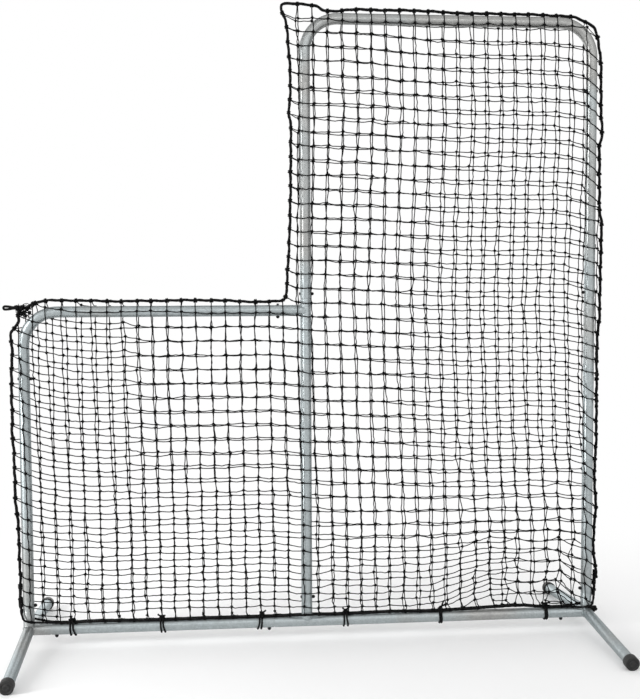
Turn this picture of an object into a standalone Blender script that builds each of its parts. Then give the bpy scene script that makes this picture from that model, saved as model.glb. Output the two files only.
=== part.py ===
"""Baseball safety screen: an L-shaped frame of galvanised tube on two cross feet, with a bag of
square-mesh netting pulled over it, a rope round its outline and ties round the bottom rail.

Metres, +Z up. The thrower stands behind the screen, at +Y, and the open notch is on the -X side.
The origin is on the floor, midway between the outer posts."""

import itertools
import math
from typing import NamedTuple

import bmesh
import bpy
from mathutils import Matrix, Vector

# Frame, measured between tube axes
HEIGHT = 2.0955
WIDTH = 1.976
LOW_WIDTH = 0.962
LOW_HEIGHT = 1.098
CORNER_RADIUS = 0.114
CORNER_STEPS = 5

# Tube
TUBE_RADIUS = 0.01905
TUBE_WALL = 0.00165
TUBE_SIDES = 16

# Slip joints: a swaged spigot in a plain socket, with one bolt through both
SPIGOT_LENGTH = 0.062
SPIGOT_CLEARANCE = 0.0004
SHOULDER_LENGTH = 0.006
SHOULDER_GAP = 0.0005
BOLT_INSET = 0.016

# Where the joints' bolts are, from the nearest tube axis
POST_BOLT_RISE = 0.086
FOOT_RAIL_BOLT = 0.093
BOTTOM_SPLICE = 0.133
LOW_RAIL_BOLT = 0.0965
CORNER_DROP = 0.2285
SPLICE_RISE = 0.056
TOP_DROP = 0.2335

# Feet: a cross leg bent to a shallow inverted V, from the post's axis to the cap's face
LEG_REACH = 0.460
LEG_DROP = 0.038
LEG_BEND_RADIUS = 0.25
LEG_BEND_STEPS = 1
WELD_DEPTH = 0.0004
WELD_BEAD_RADIUS = 0.0022
WELD_CORNER = 0.0045
WELD_POINTS = 12
WELD_SIDES = 3

# Rubber end caps
CAP_WALL = 0.0040
CAP_FACE = 0.0060
CAP_DEPTH = 0.030
CAP_EDGE = 0.0013
CAP_RIM = 0.0060
CAP_GROOVE = 0.0012
CAP_GROOVE_WIDTH = 0.0075
CAP_BEDDING = 0.0008
CAP_SIDES = 16

# Bolts and dome nuts
BOLT_RADIUS = 0.003175
BOLT_HOLE_CLEARANCE = 0.0004
BOLT_HEAD_RADIUS = 0.0062
BOLT_HEAD_HEIGHT = 0.0036
NUT_ACROSS_FLATS = 0.0111
NUT_HEX_HEIGHT = 0.0048
NUT_HEIGHT = 0.0099
NUT_CROWN = 0.0022
BOLT_CHAMFER = 0.0008
BOLT_END_CLEARANCE = 0.0006
BOLT_SIDES = 12
DRILL_SIDES = 8

# Fit between touching pieces, and the shortest edge that a cut may leave
GAP = 0.0003
SLIVER = 0.00002

# Netting: square strands, drawn at a coarse pitch
NET_STRAND = 0.0030
NET_COLUMNS_LOW = 5
NET_COLUMNS_TALL = 5
NET_ROWS_LOW = 6
NET_ROWS_TALL = 5
NET_TUCK = 0.055

# Ropes, measured from a tube's axis to the rope's axis
ROPE_RADIUS = 0.0045
ROPE_STANDOFF = 0.036
ROPE_STANDOFF_MIDDLE = 0.048
ROPE_STANDOFF_TOP = 0.030
ROPE_LOW_CORNER = 0.090
ROPE_SPREAD = 0.0115
ROPE_AT_POST = 0.028
ROPE_SIDE_START = 0.070
ROPE_OVERLAP = 0.040
ROPE_LEAD = 0.072
ROPE_SLACK = 0.0027
ROPE_TURN = 0.014
ROPE_TURN_STEPS = 4
EAR_START = 0.057
EAR_OUT = 0.080
EAR_UP = 0.050
EAR_TIP = 0.019
EAR_LENGTH = 0.075
EYE_LENGTH = 0.053
EYE_HEIGHT = 0.020
EYE_RADIUS = 0.0035
EYE_RISE = 0.013
EYE_STEPS = 5

# Ties of doubled cord, measured along the bottom rail
TIES_FROM_LEFT = (0.145, 0.454, 0.803)
TIES_FROM_RIGHT = (0.878, 0.536, 0.151)
TIE_RADIUS = 0.0025
TIE_PITCH = 0.0056
TIE_SPREAD = 0.0068
TIE_TAIL = 0.022
TIE_STEPS = 8

# Places that follow from the sizes above
CAP_RADIUS = TUBE_RADIUS + GAP + CAP_WALL
LEG_SLOPE = math.atan2(LEG_DROP, LEG_REACH)
BOTTOM = LEG_DROP + CAP_RADIUS * math.cos(LEG_SLOPE) - CAP_BEDDING
LOW = BOTTOM + LOW_HEIGHT
TOP = BOTTOM + HEIGHT
LEFT = -WIDTH / 2
MIDDLE = LEFT + LOW_WIDTH
RIGHT = WIDTH / 2
SPIGOT_RADIUS = TUBE_RADIUS - TUBE_WALL - SPIGOT_CLEARANCE
NET_FACE = TUBE_RADIUS + GAP + NET_STRAND / 2
ROPE_OVER_RAIL = math.sqrt((TUBE_RADIUS + GAP + ROPE_RADIUS) ** 2 - ROPE_SPREAD**2)
ROPE_BY_POST = NET_FACE + NET_STRAND / 2 + GAP + ROPE_RADIUS
ROPE_AROUND = ROPE_BY_POST + ROPE_SLACK

X = Vector((1, 0, 0))
Y = Vector((0, 1, 0))
Z = Vector((0, 0, 1))
SQUARE = ((-1, -1), (1, -1), (1, 1), (-1, 1))


class Joint(NamedTuple):
    """A slip joint: the bolt's place, the way out of the socket, and the side of the bolt's nut."""

    place: Vector
    out: Vector
    nut: Vector

    def socket_edge(self):
        return self.place + BOLT_INSET * self.out

    def spigot_tip(self):
        return self.place + (BOLT_INSET + SHOULDER_GAP - SPIGOT_LENGTH) * self.out


JOINTS = {
    "left_foot_post": Joint(Vector((LEFT, 0, BOTTOM + POST_BOLT_RISE)), -Z, X),
    "left_foot_rail": Joint(Vector((LEFT + FOOT_RAIL_BOLT, 0, BOTTOM)), -X, -Z),
    "right_foot_post": Joint(Vector((RIGHT, 0, BOTTOM + POST_BOLT_RISE)), -Z, -X),
    "right_foot_rail": Joint(Vector((RIGHT - FOOT_RAIL_BOLT, 0, BOTTOM)), X, -Z),
    "bottom_splice": Joint(Vector((MIDDLE - BOTTOM_SPLICE, 0, BOTTOM)), X, -Z),
    "middle_foot": Joint(Vector((MIDDLE, 0, BOTTOM + POST_BOLT_RISE)), -Z, X),
    "low_rail": Joint(Vector((MIDDLE - LOW_RAIL_BOLT, 0, LOW)), X, -Z),
    "corner": Joint(Vector((LEFT, 0, LOW - CORNER_DROP)), Z, X),
    "middle_splice": Joint(Vector((MIDDLE, 0, LOW + SPLICE_RISE)), -Z, X),
    "right_splice": Joint(Vector((RIGHT, 0, LOW + SPLICE_RISE)), -Z, -X),
    "top_middle": Joint(Vector((MIDDLE, 0, TOP - TOP_DROP)), Z, X),
    "top_right": Joint(Vector((RIGHT, 0, TOP - TOP_DROP)), Z, -X),
}


def clear_scene():
    for obj in list(bpy.data.objects):
        bpy.data.objects.remove(obj, do_unlink=True)


def make_material(name, colour, roughness, metallic):
    material = bpy.data.materials.new(name)
    material.use_nodes = True
    shader = material.node_tree.nodes["Principled BSDF"]
    shader.inputs["Base Color"].default_value = (*colour, 1)
    shader.inputs["Roughness"].default_value = roughness
    shader.inputs["Metallic"].default_value = metallic
    return material


def place(obj, material, parent):
    bpy.context.scene.collection.objects.link(obj)
    obj.data.materials.append(material)
    obj.parent = parent


def object_from(bm, name, material, parent, sharp_angle=40):
    """Adds a closed mesh as an object, shaded smooth apart from its sharp edges."""
    bmesh.ops.recalc_face_normals(bm, faces=bm.faces)
    mesh = bpy.data.meshes.new(name)
    bm.to_mesh(mesh)
    bm.free()
    mesh.shade_smooth()
    mesh.set_sharp_from_angle(angle=math.radians(sharp_angle))
    obj = bpy.data.objects.new(name, mesh)
    place(obj, material, parent)
    return obj


def skin(rings, wrap=False):
    """Lofts rings of points into one closed skin. A ring of one point is a pole."""
    bm = bmesh.new()
    loops = [[bm.verts.new(point) for point in ring] for ring in rings]
    pairs = list(zip(loops, loops[1:]))
    if wrap:
        pairs.append((loops[-1], loops[0]))
    for lower, upper in pairs:
        count = max(len(lower), len(upper))
        for i in range(count):
            j = (i + 1) % count
            corners = [lower[i % len(lower)], lower[j % len(lower)]]
            corners += [upper[j % len(upper)], upper[i % len(upper)]]
            bm.faces.new(dict.fromkeys(corners))
    if not wrap:
        for end in (loops[0], loops[-1]):
            if len(end) > 2:
                bm.faces.new(end)
    return bm


def circle(centre, along, across, radius, sides):
    """A ring of points round an axis. The first point lies in the direction across."""
    other = along.cross(across)
    turns = [math.tau * i / sides for i in range(sides)]
    return [centre + radius * (math.cos(t) * across + math.sin(t) * other) for t in turns]


def fillet_path(corners, radii, steps):
    """Points and directions along straight runs joined by arcs, one radius for each inner corner."""
    path = [(corners[0], (corners[1] - corners[0]).normalized())]
    for before, corner, after, radius in zip(corners, corners[1:], corners[2:], radii):
        start = (corner - before).normalized()
        end = (after - corner).normalized()
        turn = start.angle(end)
        centre = corner + (end - start).normalized() * radius / math.cos(turn / 2)
        spoke = corner - start * radius * math.tan(turn / 2) - centre
        axis = start.cross(end)
        for i in range(steps + 1):
            rotation = Matrix.Rotation(turn * i / steps, 3, axis)
            path.append((centre + rotation @ spoke, rotation @ start))
    path.append((corners[-1], (corners[-1] - corners[-2]).normalized()))
    return path


def stations(path, radius, spigots):
    """The path with the tube's outer radius at each point, drawn in at the ends that are spigots."""
    tube = [(point, along, radius) for point, along in path]
    for end, sign in ((0, 1), (-1, -1)):
        if not spigots[end]:
            continue
        tip, along = path[end]
        neck = tip + sign * along * SPIGOT_LENGTH
        shoulder = neck + sign * along * SHOULDER_LENGTH
        drawn = [(tip, along, SPIGOT_RADIUS), (neck, along, SPIGOT_RADIUS), (shoulder, along, radius)]
        tube = drawn + tube[1:] if end == 0 else tube[:-1] + drawn[::-1]
    return tube


def first_facet(corners):
    """The way to a tube's first facet corner: square to its bend, or +Y where it is straight."""
    across = (corners[1] - corners[0]).cross(corners[-1] - corners[0])
    return across.normalized() if across.length > GAP else Y


def make_tube(name, corners, radii, steps, spigots, material, parent, twist=0.0):
    """A bent tube with open ends. Its origin is its first end, and twist turns its facets."""
    path = fillet_path(corners, radii, steps)
    across = Matrix.Rotation(twist, 3, path[0][1]) @ first_facet(corners)
    tube = stations(path, TUBE_RADIUS, spigots)
    outer = [circle(p - corners[0], t, across, r, TUBE_SIDES) for p, t, r in tube]
    inner = [circle(p - corners[0], t, across, r - TUBE_WALL, TUBE_SIDES) for p, t, r in tube]
    obj = object_from(skin(outer + inner[::-1], wrap=True), name, material, parent)
    obj.location = corners[0]
    return obj


def make_core(corners, radii, steps):
    """A solid rod in a tube's place, a little thinner than it, for coping what is welded on."""
    path = fillet_path(corners, radii, steps)
    across = first_facet(corners)
    rings = [circle(p, t, across, TUBE_RADIUS - WELD_DEPTH, TUBE_SIDES) for p, t in path]
    return object_from(skin(rings), "core", STEEL, None)


def combine(obj, tool, operation):
    """Applies a Boolean with an object that it uses up, and closes the slivers that it leaves."""
    modifier = obj.modifiers.new(operation.lower(), "BOOLEAN")
    modifier.operation = operation
    modifier.object = tool
    bpy.context.view_layer.update()
    graph = bpy.context.evaluated_depsgraph_get()
    combined = bpy.data.meshes.new_from_object(obj.evaluated_get(graph))
    bm = bmesh.new()
    bm.from_mesh(combined)
    bmesh.ops.dissolve_degenerate(bm, dist=SLIVER, edges=bm.edges)
    bm.to_mesh(combined)
    bm.free()
    plain = obj.data
    obj.modifiers.clear()
    obj.data = combined
    bpy.data.meshes.remove(plain)
    bpy.data.objects.remove(tool, do_unlink=True)


def split_faces(obj):
    """Splits the many-sided faces that cuts leave, so that thin ones keep their shape."""
    bm = bmesh.new()
    bm.from_mesh(obj.data)
    bmesh.ops.triangulate(bm, faces=[face for face in bm.faces if len(face.verts) > 4])
    bm.to_mesh(obj.data)
    bm.free()


def weld_bead(centre, host, stub):
    """A bead along the saddle where a stub meets a tube of its own radius."""
    side = host.cross(stub)
    points = []
    for i in range(WELD_POINTS):
        turn = math.tau * (i + 0.5) / WELD_POINTS
        rise = math.hypot(TUBE_RADIUS * math.cos(turn), WELD_CORNER)
        ring = host * math.cos(turn) + side * math.sin(turn)
        points.append(centre + TUBE_RADIUS * ring + rise * stub)
    rings = []
    for i, point in enumerate(points):
        along = (points[(i + 1) % WELD_POINTS] - points[i - 1]).normalized()
        across = along.cross(stub.cross(along)).normalized()
        rings.append(circle(point, along, across, WELD_BEAD_RADIUS, WELD_SIDES))
    return object_from(skin(rings, wrap=True), "bead", STEEL, None)


def weld_stub(host, axis, cores, tip, centre):
    """Copes a stub against the tubes in its way, and welds it to its host."""
    half_facet = math.pi / TUBE_SIDES
    stub = make_tube("stub", [centre, tip], [], 0, (False, True), STEEL, None, half_facet)
    for core in cores:
        combine(stub, core, "DIFFERENCE")
    combine(host, stub, "UNION")
    combine(host, weld_bead(centre, axis, (tip - centre).normalized()), "UNION")


def drill(obj, joint):
    """Drills the bolt's hole through both walls."""
    reach = 2 * TUBE_RADIUS
    ends = (joint.place - reach * joint.nut, joint.place + reach * joint.nut)
    radius = BOLT_RADIUS + BOLT_HOLE_CLEARANCE
    across = Matrix.Rotation(math.pi / DRILL_SIDES, 3, joint.nut) @ Y
    rings = [circle(end, joint.nut, across, radius, DRILL_SIDES) for end in ends]
    combine(obj, object_from(skin(rings), "drill", STEEL, None), "DIFFERENCE")


def leg_corners(x):
    """The leg's outer ends, and the corner that its bend rounds off so that it meets the rail's axis."""
    apex = LEG_BEND_RADIUS * (1 / math.cos(LEG_SLOPE) - 1)
    reach = LEG_REACH - CAP_FACE - GAP
    ends = [Vector((x, side * reach, BOTTOM - reach * math.tan(LEG_SLOPE))) for side in (-1, 1)]
    return [ends[0], Vector((x, 0, BOTTOM + apex)), ends[1]]


def make_foot(side, parent):
    """A cross leg with stubs for the post and the bottom rail. It faces inwards."""
    x = LEFT if side == "left" else RIGHT
    corners = leg_corners(x)
    bend = ([LEG_BEND_RADIUS], LEG_BEND_STEPS)
    foot = make_tube(f"{side}_foot", corners, *bend, (False, False), STEEL, parent)
    centre = Vector((x, 0, BOTTOM))
    post_tip = JOINTS[f"{side}_foot_post"].spigot_tip()
    rail_tip = JOINTS[f"{side}_foot_rail"].spigot_tip()
    weld_stub(foot, Y, [make_core(corners, *bend)], post_tip, centre)
    cores = [make_core(corners, *bend), make_core([centre, post_tip], [], 0)]
    weld_stub(foot, Y, cores, rail_tip, centre)
    return foot


def make_frame(parent):
    """The tubes of the frame, by name, each with its bolt holes."""

    def straight(name, start, end, spigots=(False, False)):
        return make_tube(name, [start, end], [], 0, spigots, STEEL, parent)

    edges = {name: joint.socket_edge() for name, joint in JOINTS.items()}
    tips = {name: joint.spigot_tip() for name, joint in JOINTS.items()}
    tubes = {side: make_foot(side, parent) for side in ("left", "right")}

    rail = straight("bottom_rail_right", tips["bottom_splice"], edges["right_foot_rail"], (True, False))
    tee = Vector((MIDDLE, 0, BOTTOM))
    core = make_core([tips["bottom_splice"], edges["right_foot_rail"]], [], 0)
    weld_stub(rail, X, [core], tips["middle_foot"], tee)

    post = straight("middle_post_lower", edges["middle_foot"], tips["middle_splice"], (False, True))
    elbow = Vector((MIDDLE, 0, LOW))
    core = make_core([edges["middle_foot"], tips["middle_splice"]], [], 0)
    weld_stub(post, Z, [core], tips["low_rail"], elbow)

    bend = ([CORNER_RADIUS], CORNER_STEPS)
    corner = [tips["corner"], Vector((LEFT, 0, LOW)), edges["low_rail"]]
    top = [tips["top_middle"], Vector((MIDDLE, 0, TOP)), Vector((RIGHT, 0, TOP)), tips["top_right"]]
    tubes |= {
        "rail_left": straight("bottom_rail_left", edges["left_foot_rail"], edges["bottom_splice"]),
        "rail_right": rail,
        "left_post": straight("left_post", edges["left_foot_post"], edges["corner"]),
        "corner": make_tube("corner_rail", corner, *bend, (True, False), STEEL, parent),
        "middle_lower": post,
        "middle_upper": straight("middle_post_upper", edges["middle_splice"], edges["top_middle"]),
        "top": make_tube("top_rail", top, bend[0] * 2, bend[1], (True, True), STEEL, parent),
        "right_upper": straight("right_post_upper", edges["right_splice"], edges["top_right"]),
        "right_lower": straight(
            "right_post_lower", edges["right_foot_post"], tips["right_splice"], (False, True)
        ),
    }
    bolted = {
        "left_foot_post": ("left", "left_post"),
        "left_foot_rail": ("left", "rail_left"),
        "right_foot_post": ("right", "right_lower"),
        "right_foot_rail": ("right", "rail_right"),
        "bottom_splice": ("rail_left", "rail_right"),
        "middle_foot": ("rail_right", "middle_lower"),
        "low_rail": ("middle_lower", "corner"),
        "corner": ("corner", "left_post"),
        "middle_splice": ("middle_lower", "middle_upper"),
        "right_splice": ("right_lower", "right_upper"),
        "top_middle": ("top", "middle_upper"),
        "top_right": ("top", "right_upper"),
    }
    for name, pieces in bolted.items():
        for piece in pieces:
            drill(tubes[piece], JOINTS[name])
    for tube in tubes.values():
        split_faces(tube)


def turned(profile, sides, sharp_angle, name, material, parent):
    """Turns a profile of (radius, height) about Z. A radius may be a function of the side's number."""
    rings = []
    for radius, height in profile:
        if radius == 0:
            rings.append([Vector((0, 0, height))])
            continue
        ring = circle(Vector((0, 0, height)), Z, X, 1, sides)
        sizes = [radius(i) if callable(radius) else radius for i in range(sides)]
        rings.append([Vector((p.x * r, p.y * r, p.z)) for p, r in zip(ring, sizes)])
    return object_from(skin(rings), name, material, parent, sharp_angle)


def point_along(obj, where, direction):
    obj.location = where
    obj.rotation_euler = direction.to_track_quat("Z", "Y").to_euler()


def make_bolts(parent):
    """A round-headed bolt through each joint, and a dome nut on its end."""
    seat = TUBE_RADIUS + GAP
    bore_depth = NUT_HEIGHT - NUT_CROWN
    tip = seat + bore_depth - BOLT_END_CLEARANCE
    slant = math.sqrt(0.5)
    bolt_profile = [
        (0, -seat - BOLT_HEAD_HEIGHT),
        (slant * BOLT_HEAD_RADIUS, -seat - slant * BOLT_HEAD_HEIGHT),
        (BOLT_HEAD_RADIUS, -seat),
        (BOLT_RADIUS, -seat),
        (BOLT_RADIUS, tip - BOLT_CHAMFER),
        (BOLT_RADIUS - BOLT_CHAMFER, tip),
        (0, tip),
    ]
    flat = NUT_ACROSS_FLATS / 2
    corner = flat / math.cos(math.pi / 6)
    bore = BOLT_RADIUS + BOLT_HOLE_CLEARANCE
    dome_height = NUT_HEIGHT - NUT_HEX_HEIGHT

    def hexagon(i):
        return corner if i % 2 == 0 else flat

    nut_profile = [
        (0, bore_depth),
        (bore, bore_depth),
        (bore, 0),
        (hexagon, 0),
        (hexagon, NUT_HEX_HEIGHT),
        (slant * flat, NUT_HEX_HEIGHT + slant * dome_height),
        (0, NUT_HEIGHT),
    ]
    for name, joint in JOINTS.items():
        bolt = turned(bolt_profile, BOLT_SIDES, 35, f"bolt_{name}", BLACK_STEEL, parent)
        point_along(bolt, joint.place, joint.nut)
        nut = turned(nut_profile, BOLT_SIDES, 35, f"nut_{name}", BLACK_STEEL, parent)
        point_along(nut, joint.place + (seat + GAP) * joint.nut, joint.nut)


def make_caps(parent):
    """A rubber cup on each end of both legs, with rings on its face and a flat worn where it stands."""
    bore = TUBE_RADIUS + GAP
    mouth = CAP_FACE - CAP_DEPTH
    groove = CAP_RADIUS - CAP_RIM
    disc = groove - CAP_GROOVE_WIDTH
    profile = [
        (0, 0),
        (bore, 0),
        (bore, mouth),
        (CAP_RADIUS, mouth),
        (CAP_RADIUS, CAP_FACE - CAP_EDGE),
        (CAP_RADIUS - CAP_EDGE, CAP_FACE),
        (groove, CAP_FACE),
        (groove - CAP_GROOVE, CAP_FACE - CAP_GROOVE),
        (disc + CAP_GROOVE, CAP_FACE - CAP_GROOVE),
        (disc, CAP_FACE),
        (0, CAP_FACE),
    ]
    for side, x in (("left", LEFT), ("right", RIGHT)):
        corners = leg_corners(x)
        for end, name in ((0, "front"), (2, "rear")):
            outwards = (corners[end] - corners[1]).normalized()
            cap = turned(profile, CAP_SIDES, 30, f"end_cap_{side}_{name}", RUBBER, parent)
            place_cap(cap, corners[end] + GAP * outwards, outwards)


def place_cap(cap, where, outwards):
    """Sets a cap on its leg with a corner of its rim downwards, and cuts it level with the floor."""
    downwards = (-Z + Z.dot(outwards) * outwards).normalized()
    turn = Matrix((downwards, outwards.cross(downwards), outwards)).transposed()
    cap.location = where
    cap.rotation_euler = turn.to_euler()
    bm = bmesh.new()
    bm.from_mesh(cap.data)
    everything = bm.verts[:] + bm.edges[:] + bm.faces[:]
    level = turn.transposed() @ Vector((0, 0, -where.z))
    up = turn.transposed() @ Z
    cut = bmesh.ops.bisect_plane(bm, geom=everything, plane_co=level, plane_no=up, clear_inner=True)
    rim = [part for part in cut["geom_cut"] if isinstance(part, bmesh.types.BMEdge)]
    bmesh.ops.edgeloop_fill(bm, edges=rim)
    bm.to_mesh(cap.data)
    bm.free()


def wrap_over_tube(standoff, half_turn):
    """How far out a strand leaves the panel, and where it meets the rope, to clear the tube."""
    touch = math.acos(NET_FACE / standoff)
    leave = standoff + (NET_FACE * math.cos(touch) - standoff) / math.sin(touch)
    slant = Vector((NET_FACE * math.cos(touch) - standoff, half_turn * NET_FACE * math.sin(touch)))
    meet = Vector((standoff, 0)) + slant.normalized() * (ROPE_RADIUS + GAP)
    return leave, meet


def net_lines():
    """The places of the net's upright and level strands over the whole panel."""
    step = LOW_WIDTH / NET_COLUMNS_LOW
    columns = [LEFT + step * i for i in range(1, NET_COLUMNS_LOW + 1)]
    step = (WIDTH - LOW_WIDTH) / NET_COLUMNS_TALL
    columns += [MIDDLE + step * i for i in range(1, NET_COLUMNS_TALL)]
    step = LOW_HEIGHT / NET_ROWS_LOW
    rows = [BOTTOM + step * i for i in range(1, NET_ROWS_LOW + 1)]
    step = (HEIGHT - LOW_HEIGHT) / NET_ROWS_TALL
    rows += [LOW + step * i for i in range(1, NET_ROWS_TALL)]
    return columns, rows


class NetPanel:
    """One panel of netting, of square bars that grow out of the sides of their junctions."""

    def __init__(self, side):
        self.bm = bmesh.new()
        self.side = side
        self.face = side * NET_FACE

    def junction(self, x, z):
        """The eight corners of a junction, by their signs. Its front and rear are faces already."""
        centre = Vector((x, self.face, z))
        corners = {}
        for signs in itertools.product((-1, 1), repeat=3):
            corners[signs] = self.bm.verts.new(centre + NET_STRAND / 2 * Vector(signs))
        for depth in (-1, 1):
            self.bm.faces.new([corners[a, depth, b] for a, b in SQUARE])
        return corners

    def ring(self, junction, way, sign):
        """The corners of one side of a junction. The way is 0 for the sides on X, 2 for those on Z."""
        ring = []
        for depth, width in SQUARE:
            signs = [width, depth, width]
            signs[way] = sign
            ring.append(junction[tuple(signs)])
        return ring

    def bar(self, start, end):
        for i in range(4):
            j = (i + 1) % 4
            self.bm.faces.new((start[i], start[j], end[j], end[i]))

    def free_bar(self, ring, way, bend, end, outwards):
        """Runs a bar from a ring over a bend to a closed end."""
        across = Z if way == 0 else X
        run = (end - bend).normalized()
        for centre, along in ((bend, (outwards + run).normalized()), (end, run)):
            deep = along.cross(across).normalized()
            deep *= math.copysign(NET_STRAND / 2, deep.y)
            wide = across * NET_STRAND / 2
            corners = [self.bm.verts.new(centre + a * deep + b * wide) for a, b in SQUARE]
            self.bar(ring, corners)
            ring = corners
        self.bm.faces.new(ring)

    def over_tube(self, junction, way, sign, edge, standoff):
        """Runs a bar from a junction over the tube whose axis passes through edge, to the edge rope."""
        outwards = (X if way == 0 else Z) * sign
        leave, meet = wrap_over_tube(standoff, self.side)
        bend = edge + leave * outwards + self.face * Y
        end = edge + meet.x * outwards + meet.y * Y
        self.free_bar(self.ring(junction, way, sign), way, bend, end, outwards)

    def down_to_rail(self, junction, x):
        """Runs a bar down from a junction, and in to the rope on the bottom rail."""
        by_post = abs(x - MIDDLE) < TUBE_RADIUS
        rope_y = ROPE_BY_POST if by_post else ROPE_SPREAD
        rope_z = ROPE_AT_POST if by_post else ROPE_OVER_RAIL
        rope = Vector((x, self.side * rope_y, BOTTOM + rope_z))
        bend = Vector((x, self.face, BOTTOM + TUBE_RADIUS + NET_TUCK))
        end = rope - (rope - bend).normalized() * (ROPE_RADIUS + GAP)
        self.free_bar(self.ring(junction, 2, -1), 2, bend, end, -Z)

    def across_to(self, junction, x):
        """Runs a bar from the right of a junction to the upright strand at x, which is another piece."""
        ring = self.ring(junction, 0, 1)
        reach = Vector((x - NET_STRAND / 2 - GAP, 0, 0))
        end = [self.bm.verts.new(reach + corner.co.y * Y + corner.co.z * Z) for corner in ring]
        self.bar(ring, end)
        self.bm.faces.new(end)


def make_net(name, side, over_tall_bay, parent):
    """One panel of the net bag over one bay, with each strand's end wrapped over a tube to the edge
    rope. The upright strand on the middle post belongs to the tall bay."""
    panel = NetPanel(side)
    columns, rows = net_lines()
    middle = NET_COLUMNS_LOW - 1
    low = NET_ROWS_LOW - 1
    knots = {}
    for (i, x), (k, z) in itertools.product(enumerate(columns), enumerate(rows)):
        if over_tall_bay:
            inside = i > middle or (i == middle and k <= low)
        else:
            inside = i < middle and k < low
        if inside:
            knots[i, k] = panel.junction(x, z)
    for (i, k), knot in knots.items():
        x = columns[i]
        z = rows[k]
        right = panel.ring(knot, 0, 1)
        upper = panel.ring(knot, 2, 1)
        if (i + 1, k) in knots:
            panel.bar(right, panel.ring(knots[i + 1, k], 0, -1))
        elif over_tall_bay:
            panel.over_tube(knot, 0, 1, Vector((RIGHT, 0, z)), ROPE_STANDOFF)
        else:
            panel.across_to(knot, columns[middle])
        if (i, k + 1) in knots:
            panel.bar(upper, panel.ring(knots[i, k + 1], 2, -1))
        elif i < middle:
            panel.over_tube(knot, 2, 1, Vector((x, 0, LOW)), ROPE_STANDOFF)
        elif i == middle:
            panel.bm.faces.new(upper)
        else:
            panel.over_tube(knot, 2, 1, Vector((x, 0, TOP)), ROPE_STANDOFF_TOP)
        if i == 0:
            panel.over_tube(knot, 0, -1, Vector((LEFT, 0, z)), ROPE_STANDOFF)
        elif i == middle:
            panel.bm.faces.new(panel.ring(knot, 0, -1))
        elif (i - 1, k) not in knots:
            panel.over_tube(knot, 0, -1, Vector((MIDDLE, 0, z)), ROPE_STANDOFF_MIDDLE)
        if k == 0:
            panel.down_to_rail(knot, x)
    return object_from(panel.bm, name, NETTING, parent)


def make_cord(name, points, radius, closed, parent):
    """A cord as a curve with a round bevel."""
    curve = bpy.data.curves.new(name, "CURVE")
    curve.dimensions = "3D"
    curve.bevel_depth = radius
    curve.bevel_resolution = 1
    curve.use_fill_caps = not closed
    spline = curve.splines.new("POLY")
    spline.points.add(len(points) - 1)
    for knot, point in zip(spline.points, points):
        knot.co = (*point, 1)
    spline.use_cyclic_u = closed
    obj = bpy.data.objects.new(name, curve)
    place(obj, CORD, parent)
    return obj


def along_bottom_rail(side):
    """The route of a rope that lies on the bottom rail, and passes outside all three posts."""
    clear = TUBE_RADIUS + ROPE_RADIUS + GAP
    lying = (side * ROPE_SPREAD, BOTTOM + ROPE_OVER_RAIL)
    outside = (side * ROPE_BY_POST, BOTTOM + ROPE_AT_POST)
    round_post = ROPE_AROUND * math.sqrt(0.5)
    turning = (side * round_post, BOTTOM + (ROPE_AT_POST + ROPE_SIDE_START) / 2)
    places = [(LEFT - round_post, turning), (LEFT, outside), (LEFT + ROPE_LEAD, lying)]
    places += [(MIDDLE - ROPE_LEAD, lying), (MIDDLE - clear, outside)]
    places += [(MIDDLE + clear, outside), (MIDDLE + ROPE_LEAD, lying)]
    places += [(RIGHT - ROPE_LEAD, lying), (RIGHT, outside), (RIGHT + round_post, turning)]
    return [Vector((x, *where)) for x, where in places]


def make_ropes(parent):
    """The edge rope, which closes along the front of the bottom rail, and the rear bottom rope."""
    left = LEFT - ROPE_STANDOFF
    right = RIGHT + ROPE_STANDOFF
    inner = MIDDLE - ROPE_STANDOFF_MIDDLE
    low = LOW + ROPE_STANDOFF
    top = TOP + ROPE_STANDOFF_TOP
    start = BOTTOM + ROPE_SIDE_START
    wide = CORNER_RADIUS + ROPE_STANDOFF
    outline = [
        (Vector((left, 0, low)), ROPE_LOW_CORNER),
        (Vector((inner, 0, low)), ROPE_TURN),
        (Vector((inner, 0, TOP - EAR_START)), ROPE_TURN),
        (Vector((MIDDLE - EAR_OUT, 0, TOP + EAR_UP)), ROPE_TURN),
        (Vector((MIDDLE + EAR_TIP, 0, TOP + EAR_UP)), ROPE_TURN),
        (Vector((MIDDLE + EAR_LENGTH, 0, top)), ROPE_TURN),
        (Vector((right, 0, top)), wide),
    ]
    corners = [Vector((left, 0, start))] + [corner for corner, _ in outline]
    corners += [Vector((right, 0, start))]
    radii = [radius for _, radius in outline]
    route = [point for point, _ in fillet_path(corners, radii, ROPE_TURN_STEPS)]
    make_cord("edge_rope", route + along_bottom_rail(-1)[::-1], ROPE_RADIUS, True, parent)
    behind = 2 * ROPE_RADIUS + GAP
    laid = start + ROPE_OVERLAP
    ends = [Vector((x, behind, z)) for x in (left, right) for z in (start, laid)]
    rear = [ends[1], ends[0]] + along_bottom_rail(1) + [ends[2], ends[3]]
    make_cord("bottom_rope_rear", rear, ROPE_RADIUS, False, parent)


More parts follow.
